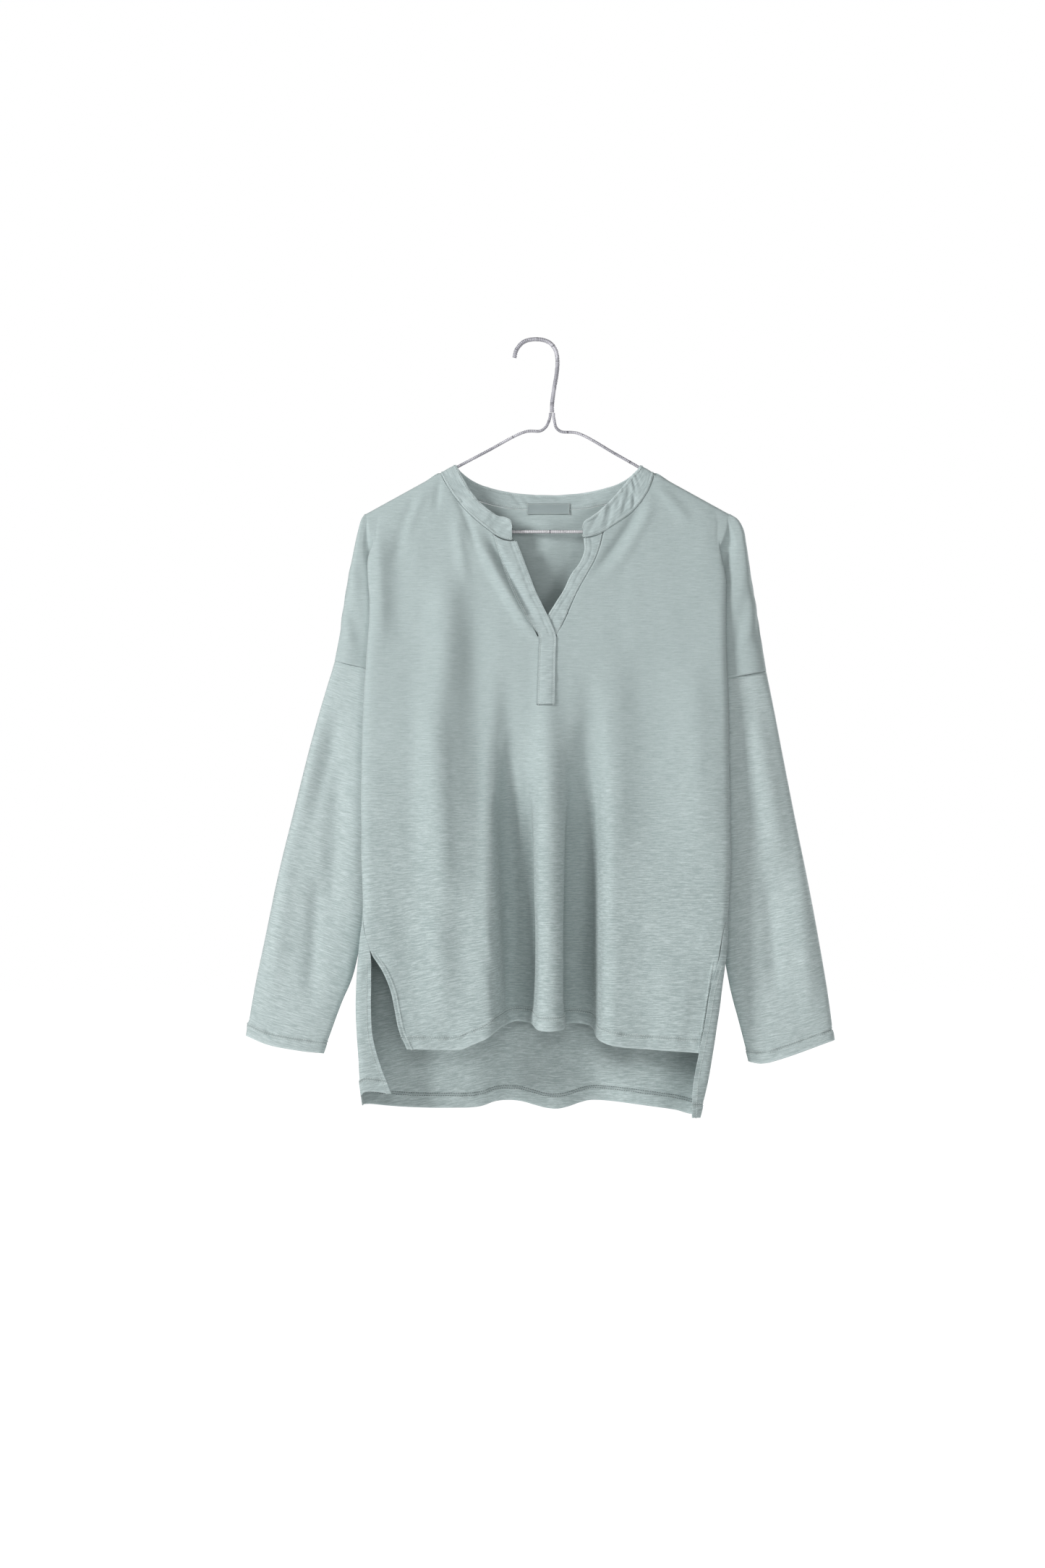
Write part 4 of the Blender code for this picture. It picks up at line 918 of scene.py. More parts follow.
def slub_group():
    """Shader group of slub jersey: uneven thick yarns that run across the cloth in long streaks."""
    inputs = [("Cloth", "Vector"), ("Streak length", 0.020), ("Streak width", 0.0009), ("Wave", 0.0016)]
    outputs = [("Tone", "Float"), ("Height", "Float")]
    group, given, result = new_group("ShaderNodeTree", "slub jersey", inputs + [("Strength", 1.0)], outputs)

    def work(operation, first, second):
        return worked_out(group, operation, first, second)

    def noise(vector, scale, detail, roughness):
        inputs = {"Vector": vector, "Scale": scale, "Detail": detail, "Roughness": roughness}
        return add_node(group, "ShaderNodeTexNoise", inputs).outputs["Fac"]

    def streaks(length_share, width_share, detail):
        length = work("MULTIPLY", given["Streak length"], length_share)
        width = work("MULTIPLY", given["Streak width"], width_share)
        inputs = {0: work("DIVIDE", across, length), 1: work("DIVIDE", down, width)}
        return noise(add_node(group, "ShaderNodeCombineXYZ", inputs).outputs[0], 1.0, detail, 0.55)

    across, down, _ = add_node(group, "ShaderNodeSeparateXYZ", {0: given["Cloth"]}).outputs
    sway = work("MULTIPLY", work("SUBTRACT", noise(given["Cloth"], 38.0, 2.0, 0.5), 0.5), given["Wave"])
    down = work("ADD", down, work("MULTIPLY", sway, 2.0))
    coarse, fine, yarn = streaks(1.0, 1.5, 2.0), streaks(0.35, 1.0, 2.0), streaks(0.08, 0.55, 1.0)
    blotch = noise(given["Cloth"], 14.0, 3.0, 0.55)
    mixed = work("ADD", work("MULTIPLY", coarse, 0.42), work("MULTIPLY", fine, 0.38))
    mixed = work("ADD", mixed, work("MULTIPLY", yarn, 0.20))
    height = work("ADD", work("MULTIPLY", mixed, 0.8), work("MULTIPLY", yarn, 0.25))
    tone = work("ADD", work("MULTIPLY", mixed, 0.91), work("MULTIPLY", blotch, 0.09))
    away = work("MULTIPLY", work("SUBTRACT", tone, 0.5), given["Strength"])
    tone = work("ADD", work("MULTIPLY", away, 5.0), 0.5)
    group.links.new(work("MINIMUM", work("MAXIMUM", tone, 0.0), 1.3), result["Tone"])
    group.links.new(height, result["Height"])
    return group


slub = slub_group()


def jersey_finish(name, dark, light, streaks, tilt=0.0):
    """Garment-dyed slub jersey: paler where its mask of wear and painted light is above 0, and darker by
    painted shade where it is below 0.

    Its streaks grow from one strength to another between two heights down the cloth.
    """
    material, tree, shader = new_finish(name)
    shader.inputs["Roughness"].default_value = 0.86
    shader.inputs["Specular IOR Level"].default_value = 0.22
    shader.inputs["Sheen Weight"].default_value = 0.18
    shader.inputs["Sheen Roughness"].default_value = 0.5
    place = add_node(tree, "ShaderNodeUVMap", {}, uv_map="cloth").outputs["UV"]
    turned = add_node(tree, "ShaderNodeMapping", {"Vector": place, "Rotation": (0.0, 0.0, tilt)}).outputs[0]
    down = add_node(tree, "ShaderNodeSeparateXYZ", {0: place}).outputs[1]
    growing = {0: down, **dict(enumerate(streaks, 1))}
    strength = add_node(tree, "ShaderNodeMapRange", growing, interpolation_type="SMOOTHSTEP").outputs[0]
    weave = add_node(tree, "ShaderNodeGroup", {}, node_tree=slub)
    tree.links.new(turned, weave.inputs["Cloth"])
    tree.links.new(strength, weave.inputs["Strength"])
    # The mask pales the cloth for wear and painted light above 0, and darkens it with painted shade below 0
    wear_and_painted_light = add_node(tree, "ShaderNodeAttribute", {}, attribute_name="wear_and_painted_light").outputs["Fac"]
    colour = blended(tree, weave.outputs["Tone"], dark, light, clamp_factor=False)
    colour = blended(tree, wear_and_painted_light, colour, tuple(min(value * 1.16, 1.0) for value in light))
    shaded = worked_out(tree, "MULTIPLY", wear_and_painted_light, -1.0)
    colour = blended(tree, shaded, colour, tuple(value * 0.5 for value in dark))
    shown(tree, shader, colour, {"Height": weave.outputs["Height"], "Distance": 0.0003, "Strength": 0.6})
    return material


def needle_tree():
    """Geometry Nodes that lay stitches end to end along curves: round threads on an even pitch."""
    inputs = [("Geometry", "Geometry"), ("Pitch", 0.0027), ("Stitch length", 0.0021)]
    inputs += [("Thread radius", 0.00036), ("Thread", "Material")]
    tree, given, result = new_group("GeometryNodeTree", "needle line", inputs, [("Geometry", "Geometry")])
    spread = {"Curve": given["Geometry"], "Length": given["Pitch"]}
    spread = add_node(tree, "GeometryNodeCurveToPoints", spread, mode="LENGTH").outputs
    half = worked_out(tree, "MULTIPLY", given["Stitch length"], 0.5)
    shape = {0: given["Thread radius"], 1: given["Thread radius"], 2: half}
    ball = add_node(tree, "GeometryNodeMeshUVSphere", {"Segments": 6, "Rings": 4, "Radius": 1.0})
    stitches = {
        "Points": spread["Points"],
        "Rotation": spread["Rotation"],
        "Instance": ball.outputs[0],
        "Scale": add_node(tree, "ShaderNodeCombineXYZ", shape).outputs[0],
    }
    stitches = add_node(tree, "GeometryNodeInstanceOnPoints", stitches).outputs[0]
    stitches = add_node(tree, "GeometryNodeRealizeInstances", {0: stitches}).outputs[0]
    paint = {"Geometry": stitches, "Material": given["Thread"]}
    tree.links.new(add_node(tree, "GeometryNodeSetMaterial", paint).outputs[0], result["Geometry"])
    return tree


needle_line = needle_tree()


def thread_finish(name, colour):
    """Matt spun sewing thread, with its twist as a fine ripple of tone."""
    material, tree, shader = new_finish(name)
    shader.inputs["Roughness"].default_value = 0.7
    shader.inputs["Sheen Weight"].default_value = 0.2
    place = add_node(tree, "ShaderNodeTexCoord", {}).outputs["Object"]
    twist = add_node(tree, "ShaderNodeTexNoise", {"Vector": place, "Scale": 900.0}).outputs["Fac"]
    shown(tree, shader, blended(tree, twist, tuple(value * 0.82 for value in colour), colour))
    return material


pale_thread = thread_finish("pale thread", (0.60, 0.67, 0.66))
dark_thread = thread_finish("dark thread", (0.11, 0.14, 0.14))


def meshed(name, drawn):
    """The mesh that an object makes, as a plain object in its place."""
    mesh = bpy.data.meshes.new_from_object(drawn.evaluated_get(bpy.context.evaluated_depsgraph_get()))
    bpy.data.objects.remove(drawn, do_unlink=True)
    mesh.name = name
    mesh.shade_smooth()
    return placed(name, mesh)


def sewn(name, lines, thread=pale_thread, pitch=0.0027):
    """Stitches along lines that lie on the cloth, as one plain mesh."""
    curve = bpy.data.curves.new(name, "CURVE")
    curve.dimensions = "3D"
    for line in lines:
        spline = curve.splines.new("POLY")
        spline.points.add(len(line) - 1)
        flat = np.ones((len(line), 4), np.float32)
        flat[:, :3] = line + np.array([CENTRE_X, 0.0, 0.0])
        spline.points.foreach_set("co", flat.ravel())
    drawn = placed(name + " lines", curve)
    machine = drawn.modifiers.new("Needle line", "NODES")
    machine.node_group = needle_line
    sockets = [item for item in needle_line.interface.items_tree if item.in_out == "INPUT"]
    given = {socket.name: socket.identifier for socket in sockets}
    machine[given["Pitch"]] = pitch
    machine[given["Stitch length"]] = pitch * 0.78
    machine[given["Thread"]] = thread
    piece = meshed(name, drawn)
    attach(piece, "root")
    return piece


def line_over(points, inset, lift, outward=FORWARD):
    """A line on the cloth this far from its last row, one point a column, lifted off its face."""
    face = (points + normals_of(points, outward) * lift)[::-1]
    away = to_edge(points)[::-1]
    columns = zip(away.T, face.swapaxes(0, 1))
    return np.array([[np.interp(inset, far, axis) for axis in column.T] for far, column in columns])


HEMS = {"front": 0.0170, "back": 0.0180}
HEM_DENSE = 0.024
HEM_SEEDS = {"front": 11, "back": 21}
SLIT_HEM = 0.0065
# Paler along the armhole's seam: a pale seam, with painted light over the shadow of its edge
ARMHOLE_WEAR_AND_LIGHT = 0.5
# Distances of a hem's two rows of stitches from its inner edge, and their lift off the cloth's middle
NEEDLE_ROWS = (0.0012, 0.0040)
NEEDLE_LIFT = CLOTH / 2 + 0.0002
# How much painted shade darkens the cloth along a hem's stitches, and in a deep hollow
STITCH_SHADE = {"front": 0.30, "back": 0.45}
HOLLOW_SHADE = {"front": 0.30, "back": 0.0}
HOLLOW_DEPTH = 0.010
body_colours = (0.325, 0.393, 0.391), (0.462, 0.538, 0.536)
body_jersey = jersey_finish("body jersey", *body_colours, (0.35, 0.72, 0.6, 1.9))
inner_thread = {"front": pale_thread, "back": dark_thread}
for panel, outward in (("front", FORWARD), ("back", -FORWARD)):
    points, gone, row_place, column_place = refined(*whole_panel(panel))
    points, gone, _ = denser(points, gone, row_place, HEM_DENSE)
    normal = normals_of(points, outward)
    across, height = points[..., 0], points[..., 2]
    to_hem = to_edge(points)
    seed = HEM_SEEDS[panel]
    # Coarse cells between each column and the dropped shoulder's inner edge, below 0 on the shoulder
    from_drop = np.minimum(column_place, column_place[-1] - column_place) - DROP_CELLS
    on_flat = rise(from_drop, SIDE_CELLS[panel] - 1.5, SIDE_CELLS[panel] + 0.5)
    relief = panel_relief(panel, across, height) * on_flat
    wear_and_painted_light = hem_wear_and_shade(to_hem, HEMS[panel], STITCH_SHADE[panel])
    # Painted shade in the deep hollows of the creases and troughs
    wear_and_painted_light -= HOLLOW_SHADE[panel] * np.clip(-relief / HOLLOW_DEPTH, 0.0, 1.0)
    # Painted shade in the fold beside the dropped shoulder, and paler along the armhole's seam: a pale seam,
    # with painted light over its shadow
    wear_and_painted_light -= 0.4 * bell(from_drop, 0.5) * rise(height, -0.37, -0.34) * rise(-height, 0.215, 0.245)
    to_armhole = np.linalg.norm(points - points[np.argmax(gone[:, 0])], axis=-1)
    wear_and_painted_light += ARMHOLE_WEAR_AND_LIGHT * bell(to_armhole, 0.0011) * (from_drop < 0)
    # Small slanting wrinkles on the dropped shoulder
    on_drop = rise(-from_drop, 0.2, 1.5) * rise(from_drop + DROP_CELLS, 0.0, 1.2)
    on_drop = on_drop * rise(height, -0.352, -0.330) * rise(-height, 0.245, 0.265)
    slanted = np.abs(across) - 0.25 * height
    relief += on_drop * mottle(slanted / 0.011, height / 0.050, seed + 5) * 0.0016
    relief += hem_relief(to_hem, across, HEMS[panel], seed)
    # The hems of the slits, each from its own side's edge
    ends = np.searchsorted(column_place, [DROP_CELLS, column_place[-1] - DROP_CELLS])
    for side, end, way in (("left", ends[0], 1), ("right", ends[1], -1)):
        part = points[:, end::way]
        slit = hem_relief(from_edge(part, 1), part[..., 2], SLIT_HEM, seed + 3)
        slit = slit * rise(SLIT_TOP[side] - part[..., 2], -0.001, 0.005)
        half = part.shape[1] // 2
        relief[:, end::way][:, :half] += slit[:, :half]
    points = points + normal * relief[..., None]
    # Along the shoulder and over the arm the two edges are sewn together.
    points[..., 1] *= 1 - bell(points[..., 1], 0.0007)
    # Stitches run along the hem and down both edges of the slits, on the cloth without its shoulders.
    kept = points[:, ends[0] : ends[1] + 1]
    edges = [(kept, HEMS[panel] - inset) for inset in NEEDLE_ROWS]
    for side, way in (("left", 1), ("right", -1)):
        part = kept[:, ::way].swapaxes(0, 1)
        first = int(np.argmax(part[0, :, 2] < SLIT_TOP[side] - 0.004))
        edges.append((part[: len(part) // 3, first:][::-1], SLIT_HEM - NEEDLE_ROWS[0]))
    for name, lift, thread in (
        (f"{panel}_hem_stitches", NEEDLE_LIFT, pale_thread),
        (f"{panel}_hem_stitches_inside", -NEEDLE_LIFT, inner_thread[panel]),
    ):
        sewn(name, [line_over(grid, inset, lift, outward) for grid, inset in edges], thread)
    # The yarns run level, and rise a little to the right low on the left.
    tilted = -height + 0.20 * np.minimum(across + 0.05, 0.0) * rise(-height, 0.50, 0.75)
    coordinates = (cloth_coordinates(points)[0], tilted)
    piece = cloth_piece(f"{panel}_cloth", points, wear_and_painted_light, gone, coordinates=coordinates)
    finished(piece, body_jersey, f"{panel}_panel")
back_grid = points


# Sleeves. Each is one tapering piece of the same jersey, closed by a seam under the arm, set into
# the dropped shoulder and hemmed at the cuff. Their inner halves lie in the folds of the body. The
# tables run down from the armhole: the ring's two ends, its half thickness and how far back it is.
SLEEVE = both("place outer outer_height inner inner_height thickness back", """
0 0.2388 -0.3602 0.1295 -0.3855 0.006 0
0.1 0.249 -0.393 0.142 -0.427 0.0062 0
0.25 0.264 -0.445 0.156 -0.475 0.007 0
0.45 0.285 -0.528 0.1775 -0.553 0.0078 0.001
0.65 0.304 -0.606 0.203 -0.633 0.0085 0
0.8 0.3175 -0.672 0.2176 -0.708 0.009 -0.001
0.9 0.329 -0.727 0.2355 -0.7531 0.009 -0.002
1 0.339 -0.7824 0.2527 -0.802 0.0085 -0.003
""", """
0 0.2461 -0.3716 0.1278 -0.3936 0.006 0
0.1 0.255 -0.416 0.137 -0.434 0.0064 0
0.25 0.264 -0.463 0.1505 -0.485 0.0072 0
0.45 0.2795 -0.542 0.1715 -0.57 0.008 0.001
0.65 0.296 -0.624 0.193 -0.656 0.0088 0
0.8 0.309 -0.696 0.2065 -0.73 0.0095 -0.001
0.9 0.3165 -0.742 0.217 -0.77 0.0095 -0.002
1 0.3227 -0.7873 0.2274 -0.8109 0.009 -0.003
""")
# How far the cuff's edge sags below a straight line, from its inner end to its outer one
CUFF_SAG = both("share sag", """
0 0
0.3 0.003
0.69 0.0045
1 0
""", """
0 0
0.08 0.0042
0.21 0.0068
1 0
""")
CUFF_HEM = 0.0150
CUFF_DENSE = 0.020
# Painted shade along the cuff's stitches
CUFF_SHADE = 0.40
SLEEVE_CELL = 0.0034
SLEEVE_CELLS = 20
SLEEVE_PLACES = (0.0, 0.03, 0.07, 0.12, 0.19, 0.27, 0.35, 0.43, 0.51, 0.59, 0.67, 0.75, 0.82, 0.88, 0.94, 1.0)
SLEEVE_CREASES = both("x_1 z_1 x_2 z_2 bow width depth", """
-0.2584 -0.3977 -0.291 -0.5933 0 0.012 0.0042
-0.2339 -0.414 -0.2665 -0.5526 0 0.008 -0.0029
-0.291 -0.5526 -0.3138 -0.7563 0 0.012 0.0038
-0.2584 -0.5933 -0.2665 -0.7563 0 0.01 -0.005
-0.2355 -0.4303 -0.2486 -0.6993 0.0024 0.012 -0.0046
""", """
0.2306 -0.3977 0.2673 -0.6096 0 0.012 0.0042
0.2143 -0.4303 0.2388 -0.5933 0 0.008 -0.0029
0.2795 -0.577 0.2958 -0.7645 0 0.012 0.0038
0.2469 -0.5933 0.2592 -0.7563 0 0.01 -0.0038
""")
SLEEVE_BACK_CREASES = both("x_1 z_1 x_2 z_2 bow width depth", """
-0.2502 -0.414 -0.2828 -0.6178 0 0.012 0.0038
-0.2665 -0.577 -0.291 -0.7563 0 0.012 -0.0034
""", """
0.2388 -0.414 0.2714 -0.6178 0 0.012 0.0038
0.2632 -0.577 0.2795 -0.7563 0 0.012 -0.0034
""")
# Heights of the seam allowance's rows above the armhole, and how far inside the sleeve it lies
ALLOWANCE_ROWS = (0.0040, 0.0022, 0.0004)
ALLOWANCE_INSET = 0.00105


def sleeve_points(side):
    """Rings of a sleeve from the armhole to the cuff; each starts and ends at the underarm seam."""
    rows, valley, outer = SLEEVE[side], ARMHOLE[side]["valley"], ARMHOLE[side]["outer"]
    seam = [valley + (outer - valley) * share for share in DROP_SHARES]
    seam = np.array([(*drop_path(side, height)[index], height) for index, height in enumerate(seam)])
    seam_share = (seam[:, 0] - seam[0, 0]) / (seam[-1, 0] - seam[0, 0]) + np.arange(len(seam)) * 1e-6
    angles = np.linspace(0.0, 2 * math.pi, SLEEVE_CELLS + 1)
    bulge = np.sin(angles)
    share = (1 - np.cos(angles)) / 2
    seam_x, seam_y, seam_height = (np.interp(share, seam_share, column) for column in seam.T)
    seam_y = np.maximum(-seam_y, 0.0014 * np.clip(share / 0.02, 0.0, 1.0))
    seam_y = seam_y * np.where(np.abs(bulge) > 0.01, -np.sign(bulge), 0.0)
    rings = []
    for place in SLEEVE_PLACES:
        outer, outer_height, inner, inner_height, thickness, back = (
            float(along(rows, name, place)) for name in rows.dtype.names[1:]
        )
        follow = float(1 - rise(place, 0.0, 0.12))
        outward = inner + (outer - inner) * share
        height = inner_height + (outer_height - inner_height) * share
        height = height - along(CUFF_SAG[side], "sag", share) * float(rise(place, 0.86, 1.0))
        if place == 0.0:
            outward = seam_x + 0.0015 * (1 - share)
            height = seam_height - SEAM_GAP - 0.0002
        y = (back - thickness * bulge) * (1 - follow) + seam_y * follow
        rings.append(np.stack([SIGN[side] * outward, y, height], axis=1))
    return np.array(rings)


def from_middle(rings):
    """Directions from the middle of each ring to its points."""
    return rings - rings[:, :-1].mean(axis=1, keepdims=True)


# Each sleeve's jersey is a paler copy of the body jersey, and the right one paler still: painted light
for side, seed, dark, light, tilt in (
    ("left", 31, (0.35, 0.42, 0.418), (0.505, 0.582, 0.58), 0.05),
    ("right", 41, (0.36, 0.43, 0.428), (0.52, 0.598, 0.596), -0.05),
):
    sleeve_jersey = jersey_finish(f"{side} sleeve jersey", dark, light, (0.0, 0.3, 0.85, 1.4), tilt)
    points, gone, row_place, column_place = refined(sleeve_points(side), cell=SLEEVE_CELL)
    points, _, row_place = denser(points, gone, row_place, CUFF_DENSE)
    normal = normals_of(points, from_middle(points))
    across, height = points[..., 0], points[..., 2]
    facing = np.sin(column_place / SLEEVE_CELLS * 2 * math.pi)
    swells = ((0.0006, 0.040, 0.070, seed), (0.0003, 0.014, 0.020, seed + 1))
    relief = creased(SLEEVE_CREASES[side], swells, across, height) * rise(facing, 0.05, 0.55)
    relief += creased(SLEEVE_BACK_CREASES[side], swells, across, height) * rise(-facing, 0.05, 0.55)
    to_cuff = to_edge(points)
    relief *= rise(row_place, 0.5, 3.0)[:, None]
    relief += hem_relief(to_cuff, across * 1.2, CUFF_HEM, seed + 2)
    wear_and_painted_light = hem_wear_and_shade(to_cuff, CUFF_HEM, CUFF_SHADE)
    points = points + normal * relief[..., None]
    points[:, -1] = points[:, 0] = (points[:, -1] + points[:, 0]) / 2
    # The seam allowance, turned up inside the armhole
    upward = points[0] - points[1]
    upward /= np.linalg.norm(upward, axis=-1, keepdims=True)
    tucked = points[0] - normal[0] * ALLOWANCE_INSET
    points = np.concatenate([np.stack([tucked + upward * step for step in ALLOWANCE_ROWS]), points])
    # The allowance's rows take the armhole's paleness: pale seam and painted light
    wear_and_painted_light = np.concatenate([np.full_like(wear_and_painted_light[: len(ALLOWANCE_ROWS)], ARMHOLE_WEAR_AND_LIGHT), wear_and_painted_light])
    lines = [line_over(points, CUFF_HEM - inset, NEEDLE_LIFT, from_middle(points)) for inset in NEEDLE_ROWS]
    cuff_thread = sewn(f"cuff_stitches_{side}", lines)
    piece = cloth_piece(f"sleeve_cloth_{side}", points, wear_and_painted_light, ring=True)
    finished(piece, sleeve_jersey, f"sleeve_{side}")


# Collar band. A stand-up band of folded jersey, cut along the knit and stitched near both of its
# edges, which leaves it slightly puckered. Its two rounded front ends lie over the placket, and the
# first table gives their seam edge and top edge.
COLLAR_END = both("outward height top_outward top_height", """
0.0399 -0.225 0.0399 -0.208
0.042 -0.2249 0.0412 -0.2022
0.05 -0.2232 0.047 -0.1985
0.0603 -0.218 0.057 -0.1963
0.064 -0.2151 0.06 -0.195
""", """
0.0397 -0.2216 0.0397 -0.2085
0.042 -0.2215 0.041 -0.204
0.052 -0.2198 0.0485 -0.1985
0.0633 -0.2155 0.06 -0.1898
0.067 -0.213 0.062 -0.188
""")
# Its top edge, by the place along the neckline below it; lean is how far it stands out behind
COLLAR_TOP = both("place outward height", """
0 0.057 -0.1963
0.31 0.0715 -0.1858
0.61 0.0842 -0.172
0.84 0.094 -0.1562
0.957 0.1008 -0.1428
0.9914 0.1025 -0.1399
1 0.1029 -0.1392
""", """
0 0.06 -0.1898
0.18 0.069 -0.1815
0.4 0.0823 -0.1667
0.79 0.096 -0.15
0.957 0.1022 -0.1436
0.9914 0.1039 -0.1406
1 0.1043 -0.1399
""")
COLLAR_TOP_BACK = table("place outward height lean", """
0 0 -0.1724 0.0095
0.2 0.026 -0.1714 0.009
0.38 0.048 -0.1682 0.008
0.565 0.069 -0.163 0.006
0.78 0.086 -0.156 0.003
0.92 0.0975 -0.146 0.001
0.9687 0.1008 -0.1428 0.0003
0.9937 0.1025 -0.1399 0
1 0.1029 -0.1392 0
""")
COLLAR_CELL = 0.0017
SEAM_STITCHES, TOP_STITCHES = 0.0022, 0.0024
STITCH_GROOVE = 0.0008
# From this share of the way round, the band lies on the front and takes its creases
BAND_FRONT = 0.62


def collar_points():
    """Grid of the collar band, seam edge first, round the neck from the left front end."""
    stations = []
    for side in ("left", "right"):
        extra = COLLAR_TOP[side]["outward"][-1] - COLLAR_TOP_BACK["outward"][-1]
        chain = []
        for row in COLLAR_END[side][:3]:
            low, high = (row["outward"], row["height"]), (row["top_outward"], row["top_height"])
            chain.append((SIGN[side], low, high, "front", 0.0))
        for place in NECK_PLACES["front"]:
            low = neckline_points(FRONT_NECK[side], place)
            high = [float(along(COLLAR_TOP[side], name, place)) for name in ("outward", "height")]
            chain.append((SIGN[side], low, high, "front" if place < 1 else "ridge", 0.0))
        for place in NECK_PLACES["back"][-2::-1]:
            low = neckline_points(BACK_NECK, place)
            names = ("outward", "height", "lean")
            outward, height, lean = (float(along(COLLAR_TOP_BACK, name, place)) for name in names)
            high = (outward + extra * place, height - SHOULDER_SLOPE * extra * place)
            chain.append((SIGN[side], low, high, "back", lean))
        stations += chain if side == "left" else chain[-2::-1]
    grid = np.zeros((4, len(stations), 3))
    for column, (sign, low, high, panel, lean) in enumerate(stations):
        for row, share in enumerate((SEAM_GAP / math.dist(low, high), 1 / 3, 2 / 3, 1.0)):
            outward, height = (start + (end - start) * share for start, end in zip(low, high))
            y = 0.0 if panel == "ridge" else float(stand_off(outward, height, panel)) + lean * share
            grid[row, column] = (sign * outward, -y if panel == "front" else y, height)
    return grid


band_jersey = jersey_finish("band jersey", (0.340, 0.408, 0.408), (0.470, 0.546, 0.546), (0.0, 0.1, 1.0, 1.0))
points, _, _, column_place = refined(collar_points(), cell=COLLAR_CELL)
from_back = np.abs(column_place / column_place[-1] * 2 - 1)
from_seam, from_top = (np.linalg.norm(points - edge, axis=-1) for edge in (points[:1], points[-1:]))
slanted = from_edge(points[0]) + from_seam * 0.8
pucker = mottle(slanted / 0.0056, from_seam / 0.010, 51) * 0.0014
pucker += mottle(slanted / 0.013, from_seam / 0.012, 52) * 0.0008
pucker *= 0.3 + 0.7 * rise(from_back, 0.45, 0.70)
groove = bell(from_seam - SEAM_STITCHES, STITCH_GROOVE) + bell(from_top - TOP_STITCHES, STITCH_GROOVE)
relief = pucker * rise(from_seam, 0.0, 0.004) - 0.0005 * groove
points = points + normals_of(points, FORWARD) * relief[..., None]
points[..., 1] -= panel_relief("front", points[..., 0], points[..., 2]) * (from_back > BAND_FRONT)
collar_grid = points
strips = ((points[::-1], SEAM_STITCHES), (points, TOP_STITCHES))
lines = [line_over(strip, inset, lift) for strip, inset in strips for lift in (NEEDLE_LIFT, -NEEDLE_LIFT)]
collar_thread = sewn("collar_stitches", lines, pitch=0.0024)
# Pale along the top fold's wear, and darker by painted shade along the seam
wear_and_painted_light = 0.8 * bell(from_top, 0.0014) - 0.15 * bell(from_seam, 0.0010)
piece = cloth_piece("collar_cloth", points, wear_and_painted_light)
finished(piece, band_jersey, "collar_band")


# Placket. Two folded strips face the slit at the front: the top one crosses over the under one at
# the foot of the V and ends in a stitched rectangle.
OVERLAY = 0.0014
RECTANGLE = table("height left right", """
-0.333 -0.01 0.0096
-0.41 -0.0122 0.0082
""")
RECTANGLE_BOTTOM = RECTANGLE["height"][-1]
STRIP_CELL = 0.0016
STRIP_MARGIN = {"left": 0.0015, "right": SEAM_GAP}
NEEDLE_LINE = 0.0022
STRIP_FOLD = 0.0078


def notch_heights(side):
    """Heights of the rows of the front's edge beside the notch."""
    heights = row_heights(side, FRONT_NECK[side]["height"][0], ARMHOLE[side]["valley"], -0.8)
    return np.concatenate([heights[:1], heights[3 : NOTCH_ROW + 1]])


def strip_edges(side, outer_height, inner_height):
    """Where a placket strip's outer edge and inner edge are, each at its own height."""
    edges = []
    for height, column, end, margin in (
        (outer_height, "panel", "left", STRIP_MARGIN[side]),
        (inner_height, "strip", "right", 0.0),
    ):
        in_rectangle = side == "left" and height <= NOTCH_BOTTOM + 1e-6
        edge = SIGN[side] * along(NOTCH[side], column, height) - margin
        edges.append(float(along(RECTANGLE, end, height) if in_rectangle else edge))
    return edges


def strip_grid(side, heights, out):
    """Grid of a placket strip at a distance out from the front; its top edge follows the collar's seam."""
    rows = []
    for height in heights:
        across = np.linspace(*strip_edges(side, height, height), 4)
        for _ in range(3):
            under_seam = along(COLLAR_END[side], "height", np.abs(across)) - SEAM_GAP - 0.0004
            level = height + (under_seam - heights[0]) * (1 - rise(heights[0] - height, 0.0, 0.04))
            across = np.linspace(*strip_edges(side, level[0], level[-1]), 4)
        rows.append(np.stack([across, -panel_depth("front", across, level) - out, level], axis=1))
    return np.array(rows)


